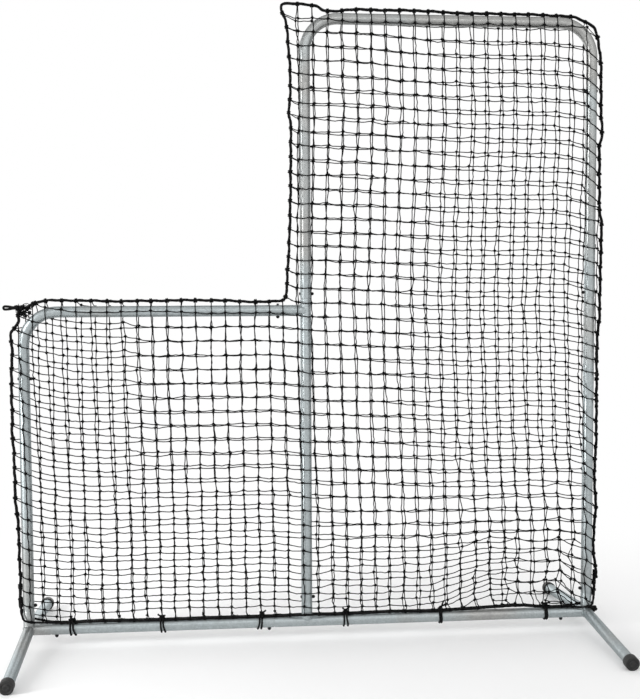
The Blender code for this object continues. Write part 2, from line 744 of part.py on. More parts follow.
def make_corner_eye(parent):
    """A long rope eye that sticks out level from the edge rope at the low corner."""
    turn_x = LEFT - ROPE_STANDOFF + ROPE_LOW_CORNER
    turn_z = LOW + ROPE_STANDOFF - ROPE_LOW_CORNER
    touching = ROPE_LOW_CORNER + ROPE_RADIUS + GAP + EYE_HEIGHT / 2
    root = turn_x - math.sqrt(touching**2 - (LOW + EYE_RISE - turn_z) ** 2)
    straight = (EYE_LENGTH - EYE_HEIGHT) / 2
    bow = EYE_HEIGHT / 2 - EYE_RADIUS
    centre = Vector((root - straight, 0, LOW + EYE_RISE))
    points = []
    for side in (1, -1):
        for i in range(EYE_STEPS + 1):
            turn = side * math.pi / 2 - math.pi * i / EYE_STEPS
            offset = Vector((side * straight + bow * math.cos(turn), 0, bow * math.sin(turn)))
            points.append(centre + offset)
    make_cord("corner_eye", points, EYE_RADIUS, True, parent)


def tie_reach(turn):
    """How far a tie's axis lies from the rail's axis, in one direction round it."""
    circles = [(0, 0, TUBE_RADIUS)]
    circles += [(side * ROPE_SPREAD, ROPE_OVER_RAIL, ROPE_RADIUS) for side in (-1, 1)]
    touching = max(y * math.sin(turn) + z * math.cos(turn) + radius for y, z, radius in circles)
    return touching + TIE_RADIUS + GAP


def tie_corner(turn):
    """A corner, as (y, z), of the oval that a tie draws round the rail and the two ropes on it."""
    step = math.tau / TIE_STEPS
    near = tie_reach(turn - step / 2)
    far = tie_reach(turn + step / 2)
    sideways = (far - near * math.cos(step)) / math.sin(step)
    way = turn - step / 2
    return Vector((
        near * math.sin(way) + sideways * math.cos(way),
        near * math.cos(way) - sideways * math.sin(way),
    ))


def make_tie(name, x, parent):
    """Two turns of cord round the rail and its ropes, spread at the bottom, with two short tails."""
    points = []
    for i in range(2 * TIE_STEPS + 1):
        turn = i / TIE_STEPS
        spread = (1 - math.cos(math.tau * turn)) / 2
        level = TIE_PITCH * (turn - 1)
        lean = TIE_SPREAD * (1 if turn > 1 else -1)
        oval = tie_corner(-math.tau * turn)
        points.append(Vector((x + level * (1 - spread) + lean * spread, oval.x, BOTTOM + oval.y)))
    rise = Vector((0, 0, TIE_TAIL))
    start = points[0] + rise - Vector((TIE_PITCH, 0, 0))
    end = points[-1] + rise + Vector((TIE_PITCH, 0, 0))
    make_cord(name, [start] + points + [end], TIE_RADIUS, False, parent)


clear_scene()
STEEL = make_material("galvanised_tube", (0.52, 0.55, 0.56), 0.42, 0.85)
BLACK_STEEL = make_material("black_fastener", (0.03, 0.03, 0.032), 0.45, 0.6)
RUBBER = make_material("black_rubber", (0.025, 0.025, 0.025), 0.75, 0.0)
NETTING = make_material("net_twine", (0.012, 0.012, 0.013), 0.8, 0.0)
CORD = make_material("black_rope", (0.012, 0.012, 0.013), 0.85, 0.0)

screen = bpy.data.objects.new("screen", None)
bpy.context.scene.collection.objects.link(screen)
make_frame(screen)
make_bolts(screen)
make_caps(screen)
for panel_name, facing in (("net_front", -1), ("net_rear", 1)):
    make_net(f"{panel_name}_low", facing, False, screen)
    make_net(f"{panel_name}_tall", facing, True, screen)
make_ropes(screen)
make_corner_eye(screen)
tie_places = [LEFT + distance for distance in TIES_FROM_LEFT]
tie_places += [RIGHT - distance for distance in TIES_FROM_RIGHT]
for number, tie_place in enumerate(tie_places, 1):
    make_tie(f"tie_{number}", tie_place, screen)
bpy.context.view_layer.update()
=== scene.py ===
"""Looks of the baseball safety screen: galvanised tubes with their welds, rubber caps, two layers of
knotted netting relaxed over the tubes, the rope round them, and the ties on the bottom rail.

Metres, +Z up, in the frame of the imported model. Places come from that model's boxes."""

import math

import bpy
import numpy as np
from mathutils import Matrix, Vector


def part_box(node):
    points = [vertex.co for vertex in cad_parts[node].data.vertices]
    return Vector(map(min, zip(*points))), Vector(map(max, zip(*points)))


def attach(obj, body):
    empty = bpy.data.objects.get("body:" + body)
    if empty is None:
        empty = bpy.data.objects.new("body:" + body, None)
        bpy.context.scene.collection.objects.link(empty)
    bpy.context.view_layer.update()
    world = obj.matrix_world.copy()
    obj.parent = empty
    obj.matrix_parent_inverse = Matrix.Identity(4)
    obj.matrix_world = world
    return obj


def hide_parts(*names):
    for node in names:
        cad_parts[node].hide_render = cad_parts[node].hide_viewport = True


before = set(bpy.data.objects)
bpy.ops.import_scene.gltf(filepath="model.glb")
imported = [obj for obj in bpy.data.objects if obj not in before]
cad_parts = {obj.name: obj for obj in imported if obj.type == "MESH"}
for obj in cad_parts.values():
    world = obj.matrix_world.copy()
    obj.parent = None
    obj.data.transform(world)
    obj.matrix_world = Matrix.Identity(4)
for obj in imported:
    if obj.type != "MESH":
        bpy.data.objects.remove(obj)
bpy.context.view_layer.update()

BODY = "root"
X, Y, Z = np.eye(3)
TINY = 1e-12
FRONT_SEED, REAR_SEED, ROPE_SEED, TANGLE_SEED = 21, 22, 11, 31


def centre_of(node):
    low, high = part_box(node)
    return np.array((low + high) / 2)


# Tube, with its swaged spigots and welds
TUBE_RADIUS = 0.01905
TUBE_WALL = 0.00165
TUBE_SIDES = 40
TUBE_EDGE_ANGLE = 35
SPIGOT_LENGTH = 0.062
SPIGOT_CLEARANCE = 0.0004
SHOULDER_LENGTH = 0.006
END_ROUND = 0.0004
BEND_RADIUS = 0.114
BEND_STEPS = 14
WELD_RADIUS = 0.0026
WELD_POINTS = 144
WELD_SIDES = 8
WELD_RIPPLES = 34
WELD_RIPPLE_DEPTH = 0.14
WELD_FILL = 0.0030

# Axes of the tubes
LEFT = centre_of("left_post")[0]
MIDDLE = centre_of("middle_post_upper")[0]
RIGHT = centre_of("right_post_upper")[0]
BOTTOM = centre_of("bottom_rail_left")[2]
LOW = centre_of("bolt_low_rail")[2]
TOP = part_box("top_rail")[1].z - TUBE_RADIUS

# Cross legs and their rubber caps
LEG_REACH = 0.460
LEG_DROP = 0.038
LEG_SLOPE = math.atan2(LEG_DROP, LEG_REACH)
LEG_BEND_RADIUS = 0.25
LEG_BEND_STEPS = 8
CAP_FIT = 0.0003
CAP_WALL = 0.0040
CAP_FACE = 0.0060
CAP_DEPTH = 0.030
CAP_EDGE = 0.0013
CAP_ROUNDING = 0.3
CAP_LIP = 0.0008
CAP_RIM = 0.0060
CAP_GROOVE = 0.0022
CAP_GROOVE_WIDTH = 0.0075
CAP_DIMPLE = (0.45, 0.36)
CAP_AXIS = 0.0001
CAP_SIDES = 72
CAP_EDGE_ANGLE = 32

# Netting. A coil has its turns, its steps and its rise for each turn
PITCH_X = 0.0506
PITCH_Z = 0.0488
COLUMNS = 41
ROWS = 46
FIRST_COLUMN = -0.0235
FIRST_ROW = 0.006
INNER_COLUMN = 19
LOW_ROW = 21
LOW_BAY_TOP = 0.045
TWINE_RADIUS = 0.0017
TWINE_AT_KNOT = 1.35
TWINE_SIDES = 4
STRAND_STEPS = 4
KNOT_SHARE = 0.25
KNOT_RADIUS = 0.0031
KNOT_CORD = 0.0029
KNOT_COIL = (1.5, 9, 0.0042)
KNOT_LEAN_SPREAD = 0.25
KNOT_SIZE_SPREAD = 0.10
EDGE_MARGIN = 0.010
LONGEST_TIE = 0.10
SHARED_HITCH_REACH = 0.028
ON_RIM = 1e-6
JITTER = 0.0017
BUNCH = 0.008
BUNCH_REACH = 0.26
LEFT_SLANT = 0.40
RIGHT_SLANT = 0.70
DOWN_SLANT = 0.10
DOWN_SLANT_RIGHT = (0.35, 0.60, 0.30)

# How the net's strands find their place
SLACK = 0.006
RIM_SLACK = 0.020
WAVE = 0.0011
RELAX_STEPS = 140
RELAX_SHARE = 1.6
SAG_STEP = 0.00002
HOLD = 0.05
STIFFNESS = 0.3
TOUCH = 0.0002
NEAR_TUBE = 0.045
SIDE_PUSH = 1e-5
AXIS_BEND_STEPS = 6

# How the net hangs. A stretch has its start, where it is full and how much it is, by rows, by metres over
# the bottom rail or by metres right of the left or the middle post
FIRST_COLUMN_SHIFT = 0.010
LOWEST_ROWS = 0.15
HIGH = (0.20, 0.75)
TALL_BAY = (-0.20, 0.10)
DRIFT_LEFT = 0.031
DRIFT_FALL = 0.026
DRIFT_TALL = (
    (0.0, 0.017), (0.35, 0.015), (0.80, 0.0), (1.15, -0.009), (1.45, -0.002), (1.80, 0.008), (2.10, 0.0),
)
FIRST_ROW_DROP = 0.0085
FIRST_ROW_DIP = (0.03, 0.22, 0.012)
UPPER_ROWS_DROP = (8, 2, 0.0035)
LOW_ROW_LIFT = (0.62, 0.42, 0.008)
LOW_LIFT = (0.05, -0.15, 0.015)
LEFT_HANG = (0.10, 0.60, 0.022)
LEFT_HANG_LOW = 0.014
LEFT_HANG_FROM = -0.02
LEFT_HANG_REACH = 0.09
LEFT_DIP = 0.007
LEFT_DIP_PLACE = 0.25
LEFT_DIP_REACH = 0.09
TALL_HANG = (0.08, 0.62, 0.033)
RIGHT_HANG = 0.030
RIGHT_HANG_REACH = 0.05
SQUEEZE = 0.22
SQUEEZE_HEIGHT = 0.36
SQUEEZED = (0.40, 0.68, 0.88, 0.98)
REAR_HANG = 0.015
REAR_HANG_FROM = 0.05
REAR_HANG_REACH = 0.22
REAR_LIFT = 0.014
REAR_LIFT_LEFT = (0.41, 0.33)
REAR_LIFT_MIDDLE = (0.12, -0.10)
REAR_LIFT_HIGH = (5, 3, 0.009)
REAR_LIFT_HIGH_LEFT = (0.40, 0.20)
REAR_LIFT_LOW = (0.36, 0.18, 0.022)
REAR_LIFT_LOW_TALL = (0.0, 0.08, 0.55, 0.85)
REAR_DIP = (0.05, 0.20, 0.010)
REAR_SHIFT_RIGHT = (0.45, 0.70, 0.022)
REAR_SHIFT_HIGH = 0.0185
REAR_SHIFT_HIGH_REACH = 0.58
REAR_SHIFT_LOW = (0.30, 0.15, -0.014)

# Rope, and the hitches round it
ROPE_RADIUS = 0.0050
BOTTOM_ROPE_RADIUS = 0.0036
ROPE_THINS = (0.040, 0.080)
ROPE_SIDES = 10
ROPE_STEP = 0.006
ROPE_SCALLOP = 0.0008
ROPE_WANDER = 0.0007
ROPE_WANDER_RATES = (41, 57)
ROPE_PHASES = (1.5, 1.0)
ROPE_WAVES_FROM = 0.05
ROPE_LUMPS = 0.06
ROPE_SPREAD = 0.0080
ROPE_ON_RAIL = math.sqrt((TUBE_RADIUS + BOTTOM_ROPE_RADIUS) ** 2 - ROPE_SPREAD**2) + TOUCH
ROPE_BESIDE_POST = 0.0271
ROPE_AT_MIDDLE_POST = (0.028, 0.017)
ROPE_ROUND_MIDDLE_POST = 0.022
REAR_END_OUT = (0.030, 0.032)
REAR_END_LEVELS = (0.150, 0.110, 0.080)
REAR_END_GAP = 0.0003
HITCH_CORD = 0.0023
HITCH_COIL = (2.6, 17, 0.0044)
HITCH_SINK = 0.7
HITCH_SIZE_SPREAD = 0.08

# Rope eye and tangle at the low left corner, and the knot at the lower right one
FINE_STEP = 0.003
FINE_SIDES = 6
CORD_SIDES = 8
EYE_CORD = 0.0042
EYE_SIDES = 12
EYE_LEG = ((0.010, 1.0, -0.002), (-0.004, 1.0, 0.0015), (-0.016, 0.85, 0.002), (-0.027, 0.35, 0.0042))
EYE_BOW = np.radians(np.linspace(80, 280, 7))
WHIPPINGS = ((-0.003, 0.25), (0.012, -0.35))
WHIPPING_COIL = (3, 42, 0.0036)
WHIPPING_HEIGHT = 0.7
TANGLE_THREADS = 13
TANGLE_SPREAD = (0.010, 0.004, 0.010)
TANGLE_POINTS = 5
TANGLE_SIDES = 5
TANGLE_STEP = 0.0025
TANGLE_RADIUS = 0.75 * TWINE_RADIUS
TANGLE_KNOTS = (
    (-0.013, 0.018), (0.001, 0.020), (0.017, 0.012), (0.034, 0.022), (-0.004, -0.006), (0.010, -0.012),
    (0.022, -0.002),
)
TANGLE_COIL = (2.0, 18, 0.0042)
END_KNOT = (0.0265, -0.011, 0.0130)
END_KNOT_CORD = 0.0046
END_KNOT_RADIUS = 0.0070
END_KNOT_COILS = (((1.0, 0.2, 0.5), (1.6, 26, 0.0078)), ((-0.4, 0.3, 1.0), (1.3, 26, 0.0078)))
END_KNOT_TAIL = ((-0.006, -0.0262, 0.0255), (0.006, -0.0262, 0.0240), (0.016, -0.0215, 0.0190))

# Ties on the bottom rail
TIE_PLACES = (LEFT + 0.145, LEFT + 0.454, LEFT + 0.803, RIGHT - 0.878, RIGHT - 0.536, RIGHT - 0.151)
TIE_RADIUS = 0.0031
TIE_PITCH = 0.0066
TIE_STEPS = 28
TIE_OVER_ROPES = 0.001
TIE_KNOT = (0.0, -0.004, 0.003)
TIE_KNOT_RADIUS = 0.0042
TIE_KNOT_COIL = (1.8, 22, 0.0052)
TIE_KNOT_WAY = (1.0, 0.15, 0.2)
TIE_INTO_KNOT = ((0.003, -0.001, 0.001), (-0.003, 0.0, 0.002))
TIE_TAIL_DEPTHS = (-0.003, 0.002)
TIE_LEANS = (
    (-0.002, 0.014), (-0.001, 0.012), (-0.015, -0.003), (-0.006, 0.0095), (-0.0035, 0.0032),
    (-0.0045, 0.0030),
)
TIE_TAILS = (
    ((-0.010, 0.002), (0.010, 0.003)), ((-0.014, 0.010), (0.012, 0.004)), ((-0.008, 0.008), (0.014, 0.010)),
    ((-0.010, 0.012), (0.012, 0.010)), ((0.012, 0.026), (0.026, 0.016)), ((-0.018, 0.006), (0.018, 0.008)),
)

# Colours, each pair from dark to light or from clean to worn
ZINC = ((0.305, 0.338, 0.345), (0.425, 0.468, 0.478))
# The stained zinc is also the warmer colour that the upper tubes are painted towards: a painted tint for
# the light round them, on top of the real stains
STAINED_AND_PAINTED_TINT_ZINC = ((0.292, 0.294, 0.286), (0.395, 0.396, 0.386))
BLACK_COATING = ((0.006, 0.006, 0.007), (0.040, 0.041, 0.043))
DUSTY_RUBBER = ((0.007, 0.007, 0.007), (0.040, 0.039, 0.036))
BLACK_TWINE = ((0.0035, 0.0035, 0.004), (0.011, 0.0105, 0.010))
BLACK_ROPE = ((0.0035, 0.0035, 0.004), (0.012, 0.0115, 0.011))

# Floor, light and viewpoint. Each light has its name, place, width, height and power
FLOOR_HALF = 14
FLOOR_COLOUR = (0.95, 0.95, 0.95)
FLOOR_FADE = (0.8, 2.4)
WORLD_LIGHT = 0.80
LIGHT_AIM = 0.8
LIGHTS = (
    ("key", (-4.4, -1.9, 1.6), 0.9, 3.1, 150),
    ("fill", (2.6, -4.2, 2.6), 3.6, 3.6, 15),
    ("strip", (-0.3, -4.5, 3.2), 5.0, 0.5, 22),
    ("back", (0.5, 3.8, 3.2), 3.0, 3.0, 25),
    ("low", (-1.8, 4.2, 1.1), 4.5, 1.8, 55),
)
CAMERA_PLACE = (-0.3635, -3.910, 1.263)
CAMERA_YAW, CAMERA_PITCH, CAMERA_ROLL = np.radians((5.66, 3.54, -0.22))
CAMERA_FOCUS = 1129.0
SENSOR_WIDTH = 36
IMAGE_LONG_SIDE = 699


def add_object(name, data):
    obj = bpy.data.objects.new(name, data)
    bpy.context.scene.collection.objects.link(obj)
    return obj


class Shape:
    """A mesh under construction, of swept tubes and lofts, with their lengths in the UV map."""

    def __init__(self):
        self.points, self.faces, self.uvs = [], [], []
        self.count = 0

    def loft(self, rings, along, girth, closed=False, wrap=False):
        """Skins n rows of m rings of points, (n, m, sides, 3). along (n, m) has each ring's distance, and
        girth is the distance round a ring."""
        count, steps, sides, _ = rings.shape
        ring = np.arange(sides)
        after = (ring + 1) % sides
        start = self.count + sides * np.arange(count * steps).reshape(count, steps, 1)
        end = np.roll(start, -1, 1)
        far = np.roll(along, -1, 1)
        far[:, -1] = along[:, -1] + along[:, 1] - along[:, 0]
        runs = steps if wrap else steps - 1
        quads = np.stack([start + ring, start + after, end + after, end + ring], -1)[:, :runs]
        u = np.stack([ring, ring + 1, ring + 1, ring], -1) * girth / sides
        v = np.stack([along, along, far, far], -1)[:, :runs, None]
        self.points.append(rings.reshape(-1, 3))
        self.count += count * steps * sides
        self.faces += quads.reshape(-1, 4).tolist()
        self.uvs.append(np.stack(np.broadcast_arrays(u, v), -1).reshape(-1, 2))
        for place, order in ((0, -1), (-1, 1)) if closed else ():
            self.faces += (start[:, place] + ring)[:, ::order].tolist()
            cap = np.broadcast_arrays(ring * girth / sides, along[:, place, None])
            self.uvs.append(np.stack(cap, -1).reshape(-1, 2))

    def tubes(self, paths, radius, sides, across, wrap=False):
        """Tubes along paths (n, m, 3). across is each one's way to its first side, and radius may vary."""
        rings = tube_rings(paths, radius, sides, np.reshape(across, (-1, 1, 3)), wrap)
        girth = math.tau * float(np.mean(radius))
        self.loft(rings, lengths(paths), girth, closed=not wrap, wrap=wrap)

    def make(self, name, look, node=None, sharp=None):
        """Adds the mesh as a piece that rides on the frame, in the place of a node if one is given."""
        material, slot = look
        mesh = bpy.data.meshes.new(name)
        mesh.from_pydata(np.concatenate(self.points).tolist(), [], self.faces)
        layer = mesh.uv_layers.new(name="along")
        layer.data.foreach_set("uv", np.concatenate(self.uvs).astype(np.float32).ravel())
        mesh.materials.append(material)
        mesh.shade_smooth()
        if sharp is not None:
            mesh.set_sharp_from_angle(angle=math.radians(sharp))
        piece = add_object(name, mesh)
        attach(piece, BODY)
        if node is not None:
            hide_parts(node)


def unit(vectors):
    vectors = np.asarray(vectors, float)
    return vectors / np.maximum(np.linalg.norm(vectors, axis=-1, keepdims=True), TINY)


def lengths(paths):
    """The distance of each point from the start of its path."""
    steps = np.linalg.norm(np.diff(paths, axis=-2), axis=-1)
    return np.concatenate([np.zeros_like(steps[..., :1]), np.cumsum(steps, -1)], -1)


def tube_rings(paths, radius, sides, across, wrap=False):
    """Rings of points round each path: paths (n, m, 3) give rings (n, m, sides, 3)."""
    if wrap:
        tangent = np.roll(paths, -1, 1) - np.roll(paths, 1, 1)
    else:
        tangent = np.gradient(paths, axis=1)
    tangent = unit(tangent)
    across = np.broadcast_to(across, paths.shape)
    side = unit(across - (across * tangent).sum(-1, keepdims=True) * tangent)
    other = np.cross(tangent, side)
    turn = math.tau * np.arange(sides) / sides
    ring = np.cos(turn)[:, None] * side[..., None, :] + np.sin(turn)[:, None] * other[..., None, :]
    radius = np.broadcast_to(np.asarray(radius, float), paths.shape[:2])
    return paths[..., None, :] + radius[..., None, None] * ring


def smooth_path(points, step, wrap=False):
    """Points at an even step along a smooth curve through the given ones."""
    points = np.asarray(points, float)
    if wrap:
        ring = np.concatenate([points[-1:], points, points[:2]])
    else:
        ring = np.concatenate([2 * points[:1] - points[1:2], points, 2 * points[-1:] - points[-2:-1]])
    fine = []
    for before, start, end, after in zip(ring, ring[1:], ring[2:], ring[3:]):
        count = max(2, int(np.linalg.norm(end - start) / step * 4))
        t = np.arange(count)[:, None] / count
        fine.append((
            2 * start + (end - before) * t
            + (2 * before - 5 * start + 4 * end - after) * t**2
            + (3 * start - before - 3 * end + after) * t**3
        ) / 2)
    fine = np.concatenate([*fine, points[:1] if wrap else points[-1:]])
    length = lengths(fine)
    wanted = np.linspace(0, length[-1], max(3, round(length[-1] / step)) + 1)
    even = np.stack([np.interp(wanted, length, fine[:, axis]) for axis in range(3)], -1)
    return even[:-1] if wrap else even


def arc_path(corners, radius, steps):
    """Straight runs joined by arcs of one radius."""
    corners = np.array(corners, float)
    path = [corners[0]]
    for before, corner, after in zip(corners, corners[1:], corners[2:]):
        start = unit(corner - before)
        end = unit(after - corner)
        turn = math.acos(float(np.clip(start @ end, -1, 1)))
        centre = corner + unit(end - start) * radius / math.cos(turn / 2)
        spoke = corner - start * radius * math.tan(turn / 2) - centre
        for i in range(steps + 1):
            angle = turn * i / steps
            path.append(centre + math.cos(angle) * spoke + radius * math.sin(angle) * start)
    path.append(corners[-1])
    return np.array(path)


def coil_paths(centres, along, radius, turns, steps, lead):
    """The axes of many small coils, one about each centre, with lead as their rise for each turn."""
    side = np.cross(along, Y)
    side = unit(np.where(np.linalg.norm(side, axis=1, keepdims=True) < 0.1, X, side))
    other = np.cross(along, side)
    turn = math.tau * turns * (np.arange(steps + 1) / steps - 0.5)
    radius = np.broadcast_to(radius, len(centres))[:, None, None]
    ring = np.cos(turn)[:, None] * side[:, None] + np.sin(turn)[:, None] * other[:, None]
    rise = lead * turn[:, None] / math.tau * along[:, None]
    return centres[:, None] + radius * ring + rise


# Materials


class Nodes:
    """Short ways to add shading nodes to a material or a world."""

    def __init__(self, owner):
        owner.use_nodes = True
        self.tree = owner.node_tree

    def fill(self, node, inputs):
        """Gives a node's sockets their values, or links them to the sockets of other nodes."""
        for name, value in inputs.items():
            socket = node.inputs[name]
            if isinstance(value, bpy.types.NodeSocket):
                self.tree.links.new(value, socket)
            else:
                socket.default_value = (*value, 1) if socket.type == "RGBA" else value

    def add(self, kind, output, inputs=None, **settings):
        """Adds a node, and gives the output of that name."""
        node = self.tree.nodes.new(f"ShaderNode{kind}")
        for name, value in settings.items():
            setattr(node, name, value)
        self.fill(node, inputs or {})
        return node.outputs[output]

    def here(self):
        return self.add("TexCoord", "Object")

    def along(self, scale):
        """The place along a tube and round it, scaled."""
        place = self.add("UVMap", "UV", uv_map="along")
        return self.add("Mapping", "Vector", {"Vector": place, "Scale": scale})

    def noise(self, source, scale, detail, roughness=0.55):
        inputs = {"Vector": source, "Scale": scale, "Detail": detail, "Roughness": roughness}
        return self.add("TexNoise", "Fac", inputs)

    def spread(self, source, low, high, to_low=0.0, to_high=1.0, **settings):
        inputs = {"Value": source, "From Min": low, "From Max": high, "To Min": to_low, "To Max": to_high}
        return self.add("MapRange", "Result", inputs, **settings)

    def maths(self, operation, first, second):
        return self.add("Math", "Value", {0: first, 1: second}, operation=operation)

    def blend(self, factor, colours):
        inputs = {"Factor": factor, "A": colours[0], "B": colours[1]}
        return self.add("Mix", "Result", inputs, data_type="RGBA")

    def bump(self, height, distance, strength, **before):
        inputs = {"Height": height, "Distance": distance, "Strength": strength, **before}
        return self.add("Bump", "Normal", inputs)

    def seen_by(self, *rays):
        """1 for rays of the kinds named, and 0 for all others."""
        path = self.tree.nodes.new("ShaderNodeLightPath")
        seen = path.outputs[f"Is {rays[0]} Ray"]
        for ray in rays[1:]:
            seen = self.maths("MAXIMUM", seen, path.outputs[f"Is {ray} Ray"])
        return seen


def new_material(name, inputs):
    material = bpy.data.materials.new(name)
    nodes = Nodes(material)
    shader = nodes.tree.nodes["Principled BSDF"]
    nodes.fill(shader, inputs)
    return material, shader, nodes


def galvanised():
    """Dull zinc on drawn tube: small spangle, faint streaks along it, stained stretches, and painted light:
    the zinc turns bluer towards the bottom and warmer towards the top, a painted tint that stands for the
    light round the tubes.
    """
    fixed = {"Metallic": 0.75, "Specular Tint": (0.45, 0.47, 0.48)}
    material, shader, nodes = new_material("galvanised", fixed)
    here = nodes.here()
    spangle = {"Vector": here, "Scale": 170}
    flake = nodes.spread(nodes.add("TexVoronoi", "Color", spangle), 0.0, 1.0)
    grain = nodes.noise(nodes.along((1100, 5, 1)), 1.0, 4)
    mottle = nodes.noise(here, 40, 4, 0.6)
    patches = nodes.noise(here, 2.5, 3, 0.5)
    tone = nodes.maths("ADD", nodes.maths("MULTIPLY", flake, 0.35), nodes.maths("MULTIPLY", mottle, 0.35))
    tone = nodes.maths("ADD", tone, nodes.maths("MULTIPLY", nodes.spread(grain, 0.3, 0.7), 0.3))
    light = nodes.spread(tone, 0.25, 0.75)
    height = nodes.add("SeparateXYZ", "Z", {"Vector": here})
    # Painted tint: the stain mask also grows with height from the low bar to the top, so the lower tubes
    # stay bluer and the upper ones turn warmer, for the light round them, not for a stain
    stains_and_painted_tint = nodes.maths("ADD", patches, nodes.spread(height, LOW, TOP, 0.0, 0.18))
    zinc = (nodes.blend(light, ZINC), nodes.blend(light, STAINED_AND_PAINTED_TINT_ZINC))
    rough = nodes.spread(tone, 0.2, 0.8, 0.42, 0.26)
    rim = nodes.add("TexVoronoi", "Distance", spangle, feature="DISTANCE_TO_EDGE")
    normal = nodes.bump(nodes.spread(rim, 0.0, 0.08), 0.0001, 0.06)
    nodes.fill(shader, {
        "Base Color": nodes.blend(nodes.spread(stains_and_painted_tint, 0.52, 0.68), zinc),
        "Roughness": nodes.maths("ADD", rough, nodes.maths("MULTIPLY", grain, 0.08)),
        "Normal": nodes.bump(grain, 0.0002, 0.20, Normal=normal),
    })
    return material


def black_surface(name, colours, grain, patches, worn, rough, relief, dusty):
    """A black surface with a fine grain and paler patches: satin and rubbed, or matt with dust."""
    material, shader, nodes = new_material(name, {} if dusty else {"Specular IOR Level": 0.2})
    here = nodes.here()
    grain = nodes.noise(here, *grain)
    patches = nodes.noise(here, *patches)
    nodes.fill(shader, {
        "Base Color": nodes.blend(nodes.spread(patches, *worn), colours),
        "Roughness": nodes.spread(patches if dusty else grain, *rough),
        "Normal": nodes.bump(grain, *relief),
    })
    return material


def cord_material(name, colours, lay, depth):
    """Twisted or braided black cord: its lay as bump along it, and a dusty tone."""
    material, shader, nodes = new_material(name, {"Specular IOR Level": 0.08})
    dust = nodes.noise(nodes.here(), 60, 4, 0.6)
    fibre = nodes.noise(nodes.along((2500, 500, 1)), 1.0, 2)
    twist = {"Vector": nodes.along((lay, lay * 0.6, 1)), "Scale": 1.0, "Distortion": 0.6}
    strands = nodes.add("TexWave", "Fac", twist, bands_direction="DIAGONAL")
    nodes.fill(shader, {
        "Base Color": nodes.blend(nodes.spread(dust, 0.45, 0.75), colours),
        "Roughness": nodes.spread(strands, 0, 1, 0.72, 0.52),
        "Normal": nodes.bump(fibre, depth / 4, 0.5, Normal=nodes.bump(strands, depth, 0.8)),
    })
    return material


COATING = black_surface(
    "black_coating", BLACK_COATING, (420, 3, 0.6), (160, 4, 0.6), (0.60, 0.78), (0.3, 0.7, 0.36, 0.58),
    (0.0002, 0.3), dusty=False,
)

# The looks of new pieces, each a material and its slot
STEEL = (galvanised(), "galvanised_tube")
RUBBER = (black_surface(
    "moulded_rubber", DUSTY_RUBBER, (900, 3, 0.6), (90, 5, 0.65), (0.50, 0.72), (0.35, 0.7, 0.52, 0.85),
    (0.0003, 0.35), dusty=True,
), "black_rubber")
TWINE = (cord_material("net_twine", BLACK_TWINE, 330, 0.0005), "net_twine")
ROPE = (cord_material("braided_rope", BLACK_ROPE, 130, 0.0012), "black_rope")


# Frame


def add_tube(shape, path, spigots=(False, False)):
    """An open-ended tube along a path, drawn in to a spigot at the ends that have one."""
    path = np.asarray(path, float)
    radii = np.full(len(path), TUBE_RADIUS)
    spigot_radius = TUBE_RADIUS - TUBE_WALL - SPIGOT_CLEARANCE
    for spigot in spigots:
        # Each turn finishes the start of the path and turns the path round
        along = unit(path[1] - path[0])
        if spigot:
            steps = (0.0, SPIGOT_LENGTH, SPIGOT_LENGTH + SHOULDER_LENGTH)
            sizes = (spigot_radius, spigot_radius, TUBE_RADIUS)
        else:
            steps = (0.0, END_ROUND)
            sizes = (TUBE_RADIUS - END_ROUND, TUBE_RADIUS)
        path = np.concatenate([path[0] + np.outer(steps, along), path[1:]])[::-1]
        radii = np.concatenate([sizes, radii[1:]])[::-1]
    across = Y if abs(along[1]) < 0.5 else X
    outer, inner = (tube_rings(path[None], radii - wall, TUBE_SIDES, across) for wall in (0, TUBE_WALL))
    length = lengths(path)
    rings = np.concatenate([outer, inner[:, ::-1]], 1)
    shape.loft(rings, np.concatenate([length, length[::-1]])[None], math.tau * TUBE_RADIUS, wrap=True)


def add_stub(shape, centre, host, stub, box):
    """A stub with a spigot, from the axis of its host tube to the side of a box, and the rippled bead
    along the saddle where the two meet."""
    low, high = box
    tip = np.where(stub > 0, high, np.where(stub < 0, low, centre))
    add_tube(shape, [centre, tip], (False, True))
    turn = math.tau * np.arange(WELD_POINTS) / WELD_POINTS
    rise = np.hypot(TUBE_RADIUS * np.cos(turn), WELD_FILL)
    side = np.cross(host, stub)
    ring = np.cos(turn)[:, None] * host + np.sin(turn)[:, None] * side
    path = centre + TUBE_RADIUS * ring + rise[:, None] * stub
    ripple = 1 + WELD_RIPPLE_DEPTH * np.cos(WELD_RIPPLES * turn)
    shape.tubes(path[None], WELD_RADIUS * ripple, WELD_SIDES, stub, wrap=True)


def make_straight(node, spigots=(False, False), centre=None, stub=None):
    """A straight tube in the place of a node, along its longest side, with at most one stub on it."""
    low, high = (np.array(corner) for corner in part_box(node))
    axis = int(np.argmax(high - low))
    run = np.eye(3)[axis]
    centre = (low + high) / 2 if centre is None else np.array(centre)
    shape = Shape()
    add_tube(shape, [np.where(run > 0, corner, centre) for corner in (low, high)], spigots)
    if stub is not None:
        add_stub(shape, centre, run, stub, (low, high))
    shape.make(f"{node}_tube", STEEL, node, TUBE_EDGE_ANGLE)


def leg_path(x):
    """The axis of a cross leg, between the faces of its two caps' floors."""
    apex = LEG_BEND_RADIUS * (1 / math.cos(LEG_SLOPE) - 1)
    reach = LEG_REACH - CAP_FACE - CAP_FIT
    low = BOTTOM - reach * math.tan(LEG_SLOPE)
    corners = [(x, -reach, low), (x, 0, BOTTOM + apex), (x, reach, low)]
    return arc_path(corners, LEG_BEND_RADIUS, LEG_BEND_STEPS)


